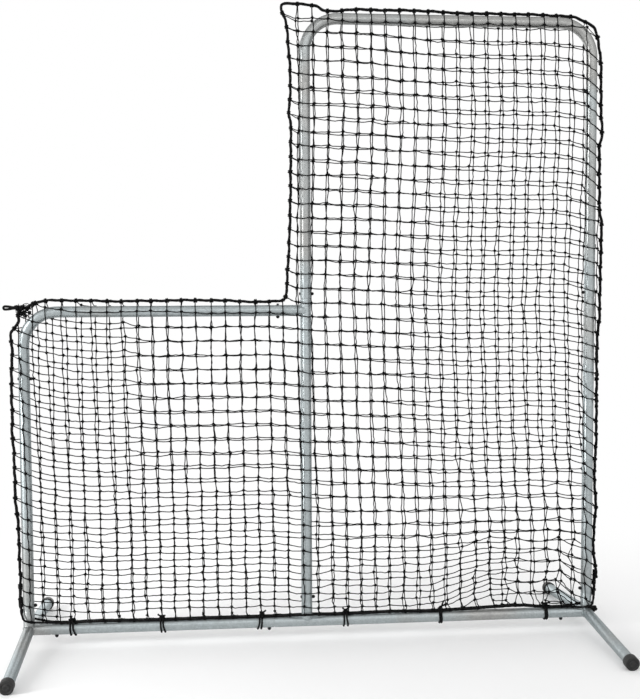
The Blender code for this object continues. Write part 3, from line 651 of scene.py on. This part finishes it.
def make_foot(side, x):
    """A cross leg with the stubs for the post and the bottom rail welded on."""
    node = f"{side}_foot"
    shape = Shape()
    add_tube(shape, leg_path(x))
    for stub in (Z, X if side == "left" else -X):
        add_stub(shape, np.array([x, 0, BOTTOM]), Y, stub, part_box(node))
    shape.make(f"{node}_tube", STEEL, node, TUBE_EDGE_ANGLE)


def make_bent(node, corners, spigots):
    """A bent tube in the place of a node, through the corners (x, z) of its axis."""
    shape = Shape()
    add_tube(shape, arc_path([(x, 0, z) for x, z in corners], BEND_RADIUS, BEND_STEPS), spigots)
    shape.make(f"{node}_tube", STEEL, node, TUBE_EDGE_ANGLE)


def make_cap(node):
    """A rubber cup over the end of a leg, with rings on its face, worn flat where it stands."""
    side, end = node.split("_")[2:]
    leg = leg_path(LEFT if side == "left" else RIGHT)
    last, before = leg[:2] if end == "front" else leg[:-3:-1]
    outwards = unit(last - before)
    bore = TUBE_RADIUS + CAP_FIT
    radius = bore + CAP_WALL
    groove = radius - CAP_RIM
    disc = groove - CAP_GROOVE_WIDTH
    mouth = CAP_FACE - CAP_DEPTH
    floor = CAP_FACE - CAP_GROOVE
    dimple = CAP_FACE - CAP_GROOVE / 2
    rounding = CAP_EDGE * CAP_ROUNDING
    profile = [
        (CAP_AXIS, 0), (bore, 0), (bore, mouth + CAP_LIP), (bore + CAP_LIP, mouth),
        (radius - CAP_LIP, mouth), (radius, mouth + CAP_LIP), (radius, CAP_FACE - CAP_EDGE),
        (radius - rounding, CAP_FACE - rounding), (radius - CAP_EDGE, CAP_FACE),
        (groove, CAP_FACE), (groove - CAP_GROOVE, floor), (disc + CAP_GROOVE, floor), (disc, CAP_FACE),
        (disc * CAP_DIMPLE[0], CAP_FACE), (disc * CAP_DIMPLE[1], dimple), (CAP_AXIS, dimple),
    ]
    origin = last + CAP_FIT * outwards
    turn = math.tau * np.arange(CAP_SIDES) / CAP_SIDES
    ring = np.cos(turn)[:, None] * X + np.sin(turn)[:, None] * np.cross(X, outwards)
    rings = np.array([[origin + height * outwards + size * ring for size, height in profile]])
    rings[..., 2] = np.maximum(rings[..., 2], 0)
    shape = Shape()
    shape.loft(rings, lengths(np.array([profile])), math.tau * radius, closed=True)
    shape.make(f"{node}_rubber", RUBBER, node, CAP_EDGE_ANGLE)


def make_frame():
    for node in ("left_post", "middle_post_upper", "right_post_upper", "bottom_rail_left"):
        make_straight(node)
    make_straight("right_post_lower", (False, True))
    make_foot("left", LEFT)
    make_foot("right", RIGHT)
    make_straight("bottom_rail_right", (True, False), (MIDDLE, 0, BOTTOM), Z)
    make_straight("middle_post_lower", (False, True), (MIDDLE, 0, LOW), -X)
    low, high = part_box("corner_rail")
    make_bent("corner_rail", [(LEFT, low.z), (LEFT, LOW), (high.x, LOW)], (True, False))
    low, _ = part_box("top_rail")
    make_bent("top_rail", [(MIDDLE, low.z), (MIDDLE, TOP), (RIGHT, TOP), (RIGHT, low.z)], (True, True))
    for name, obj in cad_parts.items():
        if name.startswith(("bolt_", "nut_")):
            obj.data.materials.clear()
            obj.data.materials.append(COATING)
        elif name.startswith("end_cap_"):
            make_cap(name)


# Rope round the outline: distances out from the axes of the tubes that it follows

ROPE_UP_RIGHT = (
    (0.110, 0.030), (0.143, 0.037), (0.190, 0.029), (0.235, 0.0262), (0.322, 0.028), (0.370, 0.033),
    (0.472, 0.028), (0.519, 0.0265), (0.613, 0.031), (0.800, 0.031), (0.973, 0.031), (1.069, 0.038),
    (1.165, 0.039), (1.311, 0.041), (1.390, 0.042), (1.460, 0.034), (1.611, 0.032), (1.663, 0.031),
    (1.710, 0.040), (1.770, 0.037), (1.824, 0.035), (1.930, 0.034), (2.000, 0.029),
)
ROPE_TOP_CORNER = ((0.014, -0.024), (-0.007, -0.005), (-0.058, 0.020), (-0.129, 0.0265))
ROPE_ALONG_TOP = (
    (0.885, 0.0255), (0.758, 0.028), (0.613, 0.0275), (0.500, 0.028), (0.440, 0.032), (0.272, 0.0325),
    (0.165, 0.032), (0.117, 0.0275), (0.071, 0.0275), (0.039, 0.040), (-0.011, 0.047), (-0.059, 0.048),
    (-0.079, 0.038), (-0.066, -0.007),
)
ROPE_DOWN_INSIDE = (
    (0.943, 0.058), (0.876, 0.053), (0.810, 0.048), (0.727, 0.050), (0.679, 0.054), (0.625, 0.047),
    (0.540, 0.048), (0.400, 0.050), (0.250, 0.055), (0.140, 0.062), (0.075, 0.066), (0.048, 0.0695),
)
ROPE_ALONG_LOW = (
    (0.886, 0.038), (0.862, 0.0335), (0.820, 0.032), (0.760, 0.033), (0.680, 0.037), (0.598, 0.039),
    (0.450, 0.038), (0.309, 0.037), (0.138, 0.041), (0.082, 0.040), (0.058, 0.036), (0.035, 0.029),
    (0.007, 0.0145), (-0.010, 0.006), (-0.016, -0.009), (-0.0155, -0.028), (-0.019, -0.039),
    (-0.031, -0.056),
)
ROPE_DOWN_LEFT = (
    (1.028, 0.040), (1.014, 0.042), (0.990, 0.039), (0.951, 0.0385), (0.846, 0.043), (0.750, 0.042),
    (0.686, 0.0435), (0.599, 0.0385), (0.447, 0.0365), (0.370, 0.029), (0.304, 0.0285), (0.186, 0.0262),
    (0.110, 0.0262),
)
ROPE_ALONG_BOTTOM = (
    (0.072, 0.004), (0.130, 0.0008), (0.190, 0.0022), (0.241, 0.0030), (0.330, 0.0012), (0.460, 0.0),
    (0.620, 0.0006), (0.747, 0.0), (0.880, 0.0),
)
ROPE_ALONG_BOTTOM_TALL = (
    (1.034, 0.0), (1.100, 0.0), (1.250, 0.0018), (1.420, 0.0), (1.560, 0.0040), (1.640, 0.0070),
    (1.733, 0.0088), (1.800, 0.0030), (1.830, 0.0), (1.900, 0.0),
)

# Where it passes the outer posts: right of the axis, the share of the way out beside the post, and up
ROPE_PAST_LEFT_POST = ((-0.020, 0.72, 0.056), (0.0, 1.0, 0.036))
ROPE_PAST_RIGHT_POST = ((0.0, 1.0, 0.0250), (0.020, 0.72, 0.047))


def rim_points():
    """The rope's route over the outline, from low on the right post round to low on the left one."""
    rim = [(RIGHT + out, BOTTOM + z) for z, out in ROPE_UP_RIGHT]
    rim += [(RIGHT + x, TOP + z) for x, z in ROPE_TOP_CORNER]
    rim += [(MIDDLE + x, TOP + out) for x, out in ROPE_ALONG_TOP]
    rim += [(MIDDLE - out, LOW + z) for z, out in ROPE_DOWN_INSIDE]
    rim += [(LEFT + x, LOW + out) for x, out in ROPE_ALONG_LOW]
    rim += [(LEFT - out, BOTTOM + z) for z, out in ROPE_DOWN_LEFT]
    return [(x, 0, z) for x, z in rim]


def bottom_points(side):
    """The rope's route along the bottom rail, from outside the left post to outside the right one."""
    level = BOTTOM + ROPE_ON_RAIL
    out = side * ROPE_BESIDE_POST
    spread = side * ROPE_SPREAD
    beside = BOTTOM + ROPE_AT_MIDDLE_POST[side > 0]
    return [
        *((LEFT + x, out * share, BOTTOM + z) for x, share, z in ROPE_PAST_LEFT_POST),
        *((LEFT + x, spread, level + lift) for x, lift in ROPE_ALONG_BOTTOM),
        *((MIDDLE + x, out, beside) for x in (-ROPE_ROUND_MIDDLE_POST, ROPE_ROUND_MIDDLE_POST)),
        *((LEFT + x, spread, level + lift) for x, lift in ROPE_ALONG_BOTTOM_TALL),
        *((RIGHT + x, out * share, BOTTOM + z) for x, share, z in ROPE_PAST_RIGHT_POST),
    ]


def rope_radius(points):
    """The rope is pulled thinner along the bottom rail than round the rest of the outline."""
    return np.interp(points[..., 2] - BOTTOM, ROPE_THINS, (BOTTOM_ROPE_RADIUS, ROPE_RADIUS))


RIM = rim_points()
REAR_BOTTOM = bottom_points(1)
ROPE_PATH = smooth_path(RIM + bottom_points(-1), ROPE_STEP, wrap=True)
REAR_OUTLINE = smooth_path(RIM + REAR_BOTTOM, ROPE_STEP, wrap=True)
for route in (ROPE_PATH, REAR_OUTLINE):
    # The net pulls the rope into shallow waves, the same ones on both routes because they share the rim
    x, _, z = route.T.copy()
    scallop = np.sin(math.tau * x / PITCH_X) + np.sin(math.tau * z / PITCH_Z + ROPE_PHASES[0])
    wander = np.sin(ROPE_WANDER_RATES[0] * x + ROPE_PHASES[1]) + np.sin(ROPE_WANDER_RATES[1] * z)
    above_rail = np.clip((z - BOTTOM - ROPE_WAVES_FROM) / ROPE_WAVES_FROM, 0, 1)
    wave = (ROPE_SCALLOP * scallop + ROPE_WANDER * wander) * above_rail
    route[:, 0] += wave
    route[:, 2] += wave


def make_ropes():
    """The edge rope, which closes along the front of the rail, and the rear bottom rope."""
    rng = np.random.default_rng(ROPE_SEED)
    behind = 2 * ROPE_RADIUS + REAR_END_GAP
    left = [(LEFT - REAR_END_OUT[0], behind, BOTTOM + z) for z in REAR_END_LEVELS]
    right = [(RIGHT + REAR_END_OUT[1], behind, BOTTOM + z) for z in REAR_END_LEVELS[::-1]]
    rear = smooth_path(left + REAR_BOTTOM + right, ROPE_STEP)
    for node, path, wrap in (("edge_rope", ROPE_PATH, True), ("bottom_rope_rear", rear, False)):
        shape = Shape()
        lumps = 1 + ROPE_LUMPS * rng.standard_normal(len(path))
        shape.tubes(path[None], rope_radius(path) * lumps, ROPE_SIDES, Y, wrap)
        shape.make(f"{node}_braid", ROPE, node)


# Netting


def tube_axes():
    """The frame's axes under the net, as straight pieces from start to end."""
    low = [(LEFT, BOTTOM), (LEFT, LOW), (MIDDLE, LOW)]
    tall = [(MIDDLE, BOTTOM), (MIDDLE, TOP), (RIGHT, TOP), (RIGHT, BOTTOM)]
    rail = [(LEFT, BOTTOM), (RIGHT, BOTTOM)]
    axes = []
    for corners in (low, tall, rail):
        path = arc_path([(x, 0, z) for x, z in corners], BEND_RADIUS, AXIS_BEND_STEPS)
        axes += zip(path, path[1:])
    return axes


def rope_hit(outline, start, way):
    """Where a ray in the plane of the net first meets the rope, with the rope's direction there."""
    runs = np.roll(outline, -1, 0) - outline
    x, z = (outline - start)[:, [0, 2]].T
    run_x, run_z = runs[:, [0, 2]].T
    cross = way[0] * run_z - way[1] * run_x
    cross = np.where(np.abs(cross) < TINY, TINY, cross)
    reach = (x * run_z - z * run_x) / cross
    share = (x * way[1] - z * way[0]) / cross
    reach = np.where((share >= 0) & (share <= 1) & (reach > 0), reach, np.inf)
    first = int(np.argmin(reach))
    return outline[first] + share[first] * runs[first], unit(runs[first]), reach[first]


def clearance(outline, x, z):
    """How far inside the rope's outline a place is: negative outside."""
    a = outline[:, [0, 2]]
    b = np.roll(a, -1, 0)
    place = np.array([x, z])
    run = b - a
    share = np.clip(((place - a) * run).sum(1) / (run**2).sum(1), 0, 1)
    nearest = np.linalg.norm(a + share[:, None] * run - place, axis=1).min()
    crossed = (a[:, 1] > z) != (b[:, 1] > z)
    meets = a[:, 0] + (z - a[:, 1]) / np.where(crossed, run[:, 1], 1) * run[:, 0]
    inside = np.count_nonzero(crossed & (meets > x)) % 2
    return nearest if inside else -nearest


def ease(value, start, full, amount=1.0):
    """0 at start and before it, the amount at full and after it, and smooth between them."""
    share = min(max((value - start) / (full - start), 0), 1)
    return amount * share * share * (3 - 2 * share)


def within(value, start, full, lessens, end):
    """1 between full and lessens, and 0 before start and after end."""
    return ease(value, start, full) * ease(value, end, lessens)


def net_place(i, k, side):
    """Where a knot hangs. Beside the posts the rows hang down from the rope, the columns drift to the
    right on their way down, and the rear layer hangs a little higher and off to one side."""
    x = LEFT + FIRST_COLUMN + i * PITCH_X
    z = TOP + FIRST_ROW - k * PITCH_Z
    down = ease(z, LOW, BOTTOM + LOWEST_ROWS)
    x += FIRST_COLUMN_SHIFT * (1 - down) * math.exp(-i)
    level = z - BOTTOM
    from_left = x - LEFT
    from_middle = x - MIDDLE
    high = ease(level, *HIGH)
    tall = ease(from_middle, *TALL_BAY)
    tall_drift = float(np.interp(level, *zip(*DRIFT_TALL)))
    low_drift = (DRIFT_LEFT - DRIFT_FALL * from_left) * down
    drift = tall_drift * tall + low_drift * (1 - tall)
    rise = SQUEEZE * within(from_middle, *SQUEEZED) * max(SQUEEZE_HEIGHT - level, 0)
    if k == 0:
        rise -= FIRST_ROW_DROP
        if side < 0:
            rise -= ease(from_middle, *FIRST_ROW_DIP)
    else:
        rise -= ease(k, *UPPER_ROWS_DROP)
        rise -= RIGHT_HANG * math.exp(-max(RIGHT - x, 0) / RIGHT_HANG_REACH) * high
        if side < 0:
            rise -= ease(from_middle, *TALL_HANG) * high
        else:
            rise += ease(k, *REAR_LIFT_HIGH) * ease(from_middle, *REAR_LIFT_HIGH_LEFT)
    if k == LOW_ROW:
        rise += ease(from_left, *LOW_ROW_LIFT)
    if k >= LOW_ROW:
        rise += ease(from_middle, *LOW_LIFT)
        hang = LEFT_HANG_LOW + ease(level, *LEFT_HANG)
        rise += hang * math.exp(-max(from_left, LEFT_HANG_FROM) / LEFT_HANG_REACH)
        if side < 0:
            rise -= LEFT_DIP * math.exp(-((from_left - LEFT_DIP_PLACE) / LEFT_DIP_REACH) ** 2)
        else:
            upper = REAR_SHIFT_HIGH * max(1 - from_left / REAR_SHIFT_HIGH_REACH, 0)
            drift += upper * (1 - down) + ease(from_left, *REAR_SHIFT_LOW) * down
    if side > 0:
        reach = max(from_middle - REAR_HANG_FROM, 0) / REAR_HANG_REACH
        left_part = ease(from_left, *REAR_LIFT_LEFT) if k >= LOW_ROW else 0.0
        rise -= REAR_HANG * (1 - math.exp(-reach)) * high
        rise += REAR_LIFT * max(left_part, (1 - high) * ease(from_middle, *REAR_LIFT_MIDDLE))
        rise += ease(level, *REAR_LIFT_LOW) * within(from_middle, *REAR_LIFT_LOW_TALL)
        rise -= (1 - high) * ease(from_middle, *REAR_DIP)
        drift += (1 - high) * ease(from_middle, *REAR_SHIFT_RIGHT)
    return x + drift, z + rise


class NetLayer:
    """One layer of the net: knots and the points of the strands between them."""

    def __init__(self, side, outline, seed, shared=()):
        """shared has the hitches of the other layer, whose turns of twine hold this one too."""
        self.side = side
        self.outline = outline
        self.rng = np.random.default_rng(seed)
        self.shared = [spot for spot, _ in shared if abs(spot[1]) < ON_RIM]
        self.points, self.fixed, self.hitches = [], [], []
        self.strands, self.ways, self.slack = [], [], []
        self.hang()

    def add_point(self, place, fixed=False):
        self.points.append(place)
        self.fixed.append(fixed)
        return len(self.points) - 1

    def add_strand(self, start, end, way, slack):
        """Adds the points between two ends. A strand's row in strands has all its points."""
        a = self.points[start]
        b = self.points[end]
        middle = [self.add_point(a + (b - a) * step / STRAND_STEPS) for step in range(1, STRAND_STEPS)]
        self.strands.append([start, *middle, end])
        self.ways.append(way)
        self.slack.append(slack)

    def hang(self):
        """Places the knots, ties each to the next ones, and ties the outer ones to the rope."""
        knots = {}
        corner = np.array([RIGHT, BOTTOM])
        for i, k in np.ndindex(COLUMNS, ROWS):
            if i < INNER_COLUMN and k < LOW_ROW:
                continue
            place = np.array(net_place(i, k, self.side))
            near = math.exp(-np.linalg.norm(place - corner) / BUNCH_REACH)
            x, z = place + (JITTER + BUNCH * near) * self.rng.standard_normal(2)
            if clearance(self.outline, x, z) > EDGE_MARGIN:
                knots[i, k] = self.add_point(np.array([x, self.side * (TUBE_RADIUS + TWINE_RADIUS), z]))
        self.knots = list(knots.values())
        for (i, k), knot in knots.items():
            for right, down in ((1, 0), (0, 1)):
                after = knots.get((i + right, k + down))
                if after is not None:
                    self.add_strand(knot, after, right == 1, SLACK * self.rng.exponential())
            slant = DOWN_SLANT + ease(self.points[knot][0] - MIDDLE, *DOWN_SLANT_RIGHT)
            for right, down, way in (
                (1, 0, (1.0, -RIGHT_SLANT)), (-1, 0, (-1.0, LEFT_SLANT)), (0, 1, (slant, -1.0)),
                (0, -1, (0.0, 1.0)),
            ):
                if (i + right, k + down) not in knots:
                    self.tie_to_rope(knot, way, right != 0)

    def tie_to_rope(self, knot, way, level):
        spot, along, reach = rope_hit(self.outline, self.points[knot], way)
        if reach > LONGEST_TIE:
            return
        on_rim = abs(spot[1]) < ON_RIM
        gaps = [np.linalg.norm(other - spot) for other in self.shared if on_rim]
        if gaps and min(gaps) < SHARED_HITCH_REACH:
            spot = self.shared[int(np.argmin(gaps))]
        else:
            self.hitches.append((spot, along))
        tuck = self.side * ROPE_RADIUS * HITCH_SINK if on_rim else 0.0
        end = self.add_point(spot + tuck * Y, fixed=True)
        self.add_strand(knot, end, level, RIM_SLACK * self.rng.exponential())

    def relax(self):
        """Lets the strands find their length under their own weight, outside the tubes."""
        points = np.array(self.points)
        free = ~np.array(self.fixed)
        rows = np.array(self.strands)
        start = rows[:, :-1].ravel()
        end = rows[:, 1:].ravel()
        reach = np.linalg.norm(points[rows[:, -1]] - points[rows[:, 0]], axis=1)
        rest = np.repeat(reach * (1 + np.array(self.slack)) / STRAND_STEPS, STRAND_STEPS)
        wanted = points[self.knots].copy()
        middle = rows[:, 1:-1].ravel()
        points[middle] += WAVE * self.rng.standard_normal((len(middle), 3))
        uses = np.bincount(np.concatenate([start, end]), minlength=len(points))[:, None]
        clear = TUBE_RADIUS + TWINE_RADIUS + TOUCH
        axes = []
        for a, b in tube_axes():
            run = b - a
            share = np.clip(((points - a) @ run) / (run @ run), 0, 1)
            near = np.linalg.norm((points - a - share[:, None] * run)[:, [0, 2]], axis=1) < NEAR_TUBE
            axes.append((a, run, np.flatnonzero(near & free)))
        for _ in range(RELAX_STEPS):
            points[free, 2] -= SAG_STEP
            points[self.knots] += HOLD * (wanted - points[self.knots])
            gap = points[end] - points[start]
            length = np.linalg.norm(gap, axis=1)
            stretch = (length - rest) / np.maximum(length, TINY)
            stretch = np.where(stretch > 0, stretch, STIFFNESS * stretch)
            pull = 0.5 * stretch[:, None] * gap
            moved = np.transpose([
                np.bincount(start, way, len(points)) - np.bincount(end, way, len(points)) for way in pull.T
            ])
            points += np.where(free[:, None], RELAX_SHARE * moved / np.maximum(uses, 1), 0)
            for a, run, near in axes:
                place = points[near]
                share = np.clip(((place - a) @ run) / (run @ run), 0, 1)
                nearest = a + share[:, None] * run
                out = place - nearest
                distance = np.linalg.norm(out, axis=1)
                hit = distance < clear
                out[:, 1] += self.side * SIDE_PUSH
                points[near[hit]] = nearest[hit] + clear * unit(out[hit])
        return points, rows

    def draw(self, layer):
        """Makes the layer's two pieces, one on each side of the middle post."""
        points, rows = self.relax()
        across = np.where(np.array(self.ways)[:, None], Z, X)
        share = np.linspace(0, 1, STRAND_STEPS + 1)
        stations = (0, KNOT_SHARE, 1 - KNOT_SHARE, 1)
        profile = np.interp(share, stations, (TWINE_AT_KNOT, 1, 1, TWINE_AT_KNOT))
        strands = (points[rows], np.tile(TWINE_RADIUS * profile, (len(rows), 1)), across)
        parts = (strands, self.knot_coils(points[self.knots]), self.hitch_coils())
        for bay in ("low", "tall"):
            shape = Shape()
            for paths, radius, way in parts:
                x, _, z = paths.mean(1).T
                here = ((x < MIDDLE) & (z < LOW + LOW_BAY_TOP)) == (bay == "low")
                shape.tubes(paths[here], radius[here], TWINE_SIDES, way[here])
            shape.make(f"{layer}_{bay}_twine", TWINE, f"{layer}_{bay}")

    def knot_coils(self, centres):
        """A turn and a half of twine round each crossing, leaning one way or the other."""
        count = len(centres)
        lean = math.pi / 4 + KNOT_LEAN_SPREAD * self.rng.standard_normal(count)
        lean *= np.where(self.rng.random(count) < 0.5, 1, -1)
        along = np.cos(lean)[:, None] * X + np.sin(lean)[:, None] * Z
        size = 1 + KNOT_SIZE_SPREAD * self.rng.standard_normal(count)
        paths = coil_paths(centres, along, KNOT_RADIUS * size, *KNOT_COIL)
        return paths, np.full((count, 1), KNOT_CORD), along

    def hitch_coils(self):
        """Turns of twine round the rope where each strand is tied to it."""
        spots, along = (np.array(column) for column in zip(*self.hitches))
        size = 1 + HITCH_SIZE_SPREAD * self.rng.standard_normal(len(spots))
        thin = rope_radius(spots) / ROPE_RADIUS
        radius = (ROPE_RADIUS + HITCH_CORD * HITCH_SINK) * size * thin
        paths = coil_paths(spots, along, radius, *HITCH_COIL)
        return paths, HITCH_CORD * (thin**2)[:, None], along


# Eye, tangle and end knot


def make_eye():
    """The rope eye that sticks out at the low corner: a small bow whose two legs close to a neck,
    whipped to the edge rope."""
    low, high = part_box("corner_eye")
    level = (low.z + high.z) / 2
    bow = (high.z - low.z) / 2 - EYE_CORD
    leg = [(high.x + x, -EYE_CORD * front, z) for x, front, z in EYE_LEG]
    path = [(x, y, level + z) for x, y, z in leg]
    for turn in EYE_BOW:
        path.append((low.x + EYE_CORD + bow + bow * math.cos(turn), 0, level + bow * math.sin(turn)))
    path += [(x, -y, level - z) for x, y, z in reversed(leg)]
    shape = Shape()
    shape.tubes(smooth_path(path, FINE_STEP)[None], EYE_CORD, EYE_SIDES, Y)
    shape.make("corner_eye_braid", ROPE, "corner_eye")
    make_tangle(high.x, level)


def make_tangle(neck, level):
    """The whipping round the eye's neck, with the loose twine and its knots at the low corner."""
    rng = np.random.default_rng(TANGLE_SEED)
    shape = Shape()
    for x, lean in WHIPPINGS:
        along = unit([[1.0, 0.0, lean]])
        spot = np.array([[neck + x, 0, level]])
        coil = coil_paths(spot, along, EYE_CORD * 2 + HITCH_CORD, *WHIPPING_COIL)
        coil[..., 2] = level + (coil[..., 2] - level) * WHIPPING_HEIGHT
        shape.tubes(coil, HITCH_CORD, FINE_SIDES, along)
    for x, z in TANGLE_KNOTS:
        along = unit(rng.normal(0, 1, 3))[None]
        spot = np.array([[LEFT + x, TANGLE_SPREAD[1] * rng.standard_normal(), LOW + z]])
        shape.tubes(coil_paths(spot, along, KNOT_RADIUS, *TANGLE_COIL), KNOT_CORD, FINE_SIDES, along)
    spots = np.array([(LEFT + x, 0, LOW + z) for x, z in TANGLE_KNOTS])
    for _ in range(TANGLE_THREADS):
        start, end = spots[rng.choice(len(spots), 2, replace=False)]
        share = np.linspace(0, 1, TANGLE_POINTS)[:, None]
        path = start + (end - start) * share + rng.normal(0, 1, (TANGLE_POINTS, 3)) * TANGLE_SPREAD
        thread = smooth_path(path, TANGLE_STEP)[None]
        shape.tubes(thread, TANGLE_RADIUS, TANGLE_SIDES, unit(rng.normal(0, 1, 3)))
    shape.make("corner_tangle", TWINE)


def make_end_knot():
    """The knot at the end of the bottom rope, on the outside of the lower right corner."""
    shape = Shape()
    corner = np.array([RIGHT, 0, BOTTOM])
    tail = smooth_path([corner + point for point in (*END_KNOT_TAIL, END_KNOT)], FINE_STEP)
    shape.tubes(tail[None], END_KNOT_CORD, CORD_SIDES, Z)
    for way, coil in END_KNOT_COILS:
        along = unit([way])
        path = coil_paths(corner[None] + END_KNOT, along, END_KNOT_RADIUS, *coil)
        shape.tubes(path, END_KNOT_CORD, CORD_SIDES, along)
    shape.make("end_knot", ROPE)


# Ties


def tie_reach(turn):
    """How far a tie's axis lies from the rail's axis, in one direction round it."""
    circles = [(0, 0, TUBE_RADIUS)]
    circles += [(side * ROPE_SPREAD, ROPE_ON_RAIL + TIE_OVER_ROPES, BOTTOM_ROPE_RADIUS) for side in (-1, 1)]
    reach = max(y * math.sin(turn) + z * math.cos(turn) + radius for y, z, radius in circles)
    return reach + TIE_RADIUS + TOUCH


def tie_spot(turn):
    """A point, as (y, z), of the oval that a tie draws round the rail and the two ropes on it."""
    step = 0.01
    slope = (tie_reach(turn + step) - tie_reach(turn - step)) / (2 * step)
    reach = tie_reach(turn)
    return reach * math.sin(turn) + slope * math.cos(turn), reach * math.cos(turn) - slope * math.sin(turn)


def make_tie(number, x):
    """Two turns of cord round the rail and its ropes, knotted on top, with two tails."""
    leans = TIE_LEANS[number - 1]
    path = []
    for i in range(2 * TIE_STEPS + 1):
        turn = i / TIE_STEPS
        spread = (1 - math.cos(math.tau * turn)) / 2
        lean = leans[turn > 1]
        y, z = tie_spot(-math.tau * turn)
        path.append((x + TIE_PITCH * (turn - 1) * (1 - spread) + lean * spread, y, BOTTOM + z))
    knot = np.array([x, 0, path[0][2]]) + TIE_KNOT
    first, last = (
        [knot + (share * side, depth, share * up) for share in (1.0, 0.5)]
        for (side, up), depth in zip(TIE_TAILS[number - 1], TIE_TAIL_DEPTHS)
    )
    into, out_of = (knot + step for step in TIE_INTO_KNOT)
    shape = Shape()
    route = smooth_path([*first, into, *path, out_of, *last[::-1]], FINE_STEP)
    shape.tubes(route[None], TIE_RADIUS, CORD_SIDES, X)
    along = unit([np.multiply(TIE_KNOT_WAY, (1, 1, (-1) ** number))])
    coil = coil_paths(knot[None], along, TIE_KNOT_RADIUS, *TIE_KNOT_COIL)
    shape.tubes(coil, TIE_RADIUS, CORD_SIDES, along)
    shape.make(f"tie_{number}_cord", ROPE, f"tie_{number}")


# Floor, light and camera


def make_floor():
    """A pale floor that fades to white away from the screen."""
    mesh = bpy.data.meshes.new("floor")
    corners = [(x * FLOOR_HALF, y * FLOOR_HALF, 0) for x, y in ((-1, -1), (1, -1), (1, 1), (-1, 1))]
    mesh.from_pydata(corners, [], [(0, 1, 2, 3)])
    add_object("floor", mesh)
    pale = {"Base Color": FLOOR_COLOUR, "Roughness": 0.9, "Specular IOR Level": 0.1}
    material, shader, nodes = new_material("pale_floor", pale)
    reach = nodes.add("VectorMath", "Value", {0: nodes.here()}, operation="LENGTH")
    faded = nodes.spread(reach, *FLOOR_FADE, interpolation_type="SMOOTHSTEP")
    shown = nodes.maths("MULTIPLY", faded, nodes.seen_by("Camera", "Glossy"))
    glow = nodes.add("Emission", "Emission", {"Strength": 1.0})
    mix = nodes.add("MixShader", "Shader", {"Fac": shown, 1: shader.outputs["BSDF"], 2: glow})
    nodes.fill(nodes.tree.nodes["Material Output"], {"Surface": mix})
    mesh.materials.append(material)


def make_light():
    """A white world, dimmer as light than as background, and soft studio lamps."""
    scene = bpy.context.scene
    scene.view_settings.view_transform = "Standard"
    world = bpy.data.worlds.new("studio")
    scene.world = world
    nodes = Nodes(world)
    seen = nodes.seen_by("Camera", "Glossy", "Transmission")
    level = nodes.spread(seen, 0.0, 1.0, WORLD_LIGHT, 1.0)
    nodes.fill(nodes.tree.nodes["Background"], {"Color": (1, 1, 1), "Strength": level})
    for name, place, width, height, power in LIGHTS:
        lamp = bpy.data.lights.new(name, "AREA")
        lamp.shape = "RECTANGLE"
        lamp.size = width
        lamp.size_y = height
        lamp.energy = power
        obj = add_object(name, lamp)
        obj.visible_camera = False
        obj.location = place
        aim = Vector((0, 0, place[2] * LIGHT_AIM)) - Vector(place)
        obj.rotation_euler = aim.to_track_quat("-Z", "Y").to_euler()


def make_camera():
    """The photograph's viewpoint. The sensor's width is that of the image's long side."""
    data = bpy.data.cameras.new("camera")
    data.sensor_width = SENSOR_WIDTH
    data.lens = CAMERA_FOCUS / IMAGE_LONG_SIDE * SENSOR_WIDTH
    place = Matrix.Translation(CAMERA_PLACE)
    for angle, axis in ((-CAMERA_YAW, "Z"), (math.pi / 2 - CAMERA_PITCH, "X"), (CAMERA_ROLL, "Z")):
        place = place @ Matrix.Rotation(angle, 4, axis)
    camera = add_object("camera", data)
    camera.matrix_world = place
    bpy.context.scene.camera = camera


make_camera()
make_floor()
make_light()
make_frame()
make_ropes()
make_eye()
make_end_knot()
for number, place in enumerate(TIE_PLACES, 1):
    make_tie(number, place)
front_net = NetLayer(-1, ROPE_PATH, FRONT_SEED)
front_net.draw("net_front")
rear_net = NetLayer(1, REAR_OUTLINE, REAR_SEED, shared=front_net.hitches)
rear_net.draw("net_rear")

bpy.context.view_layer.update()
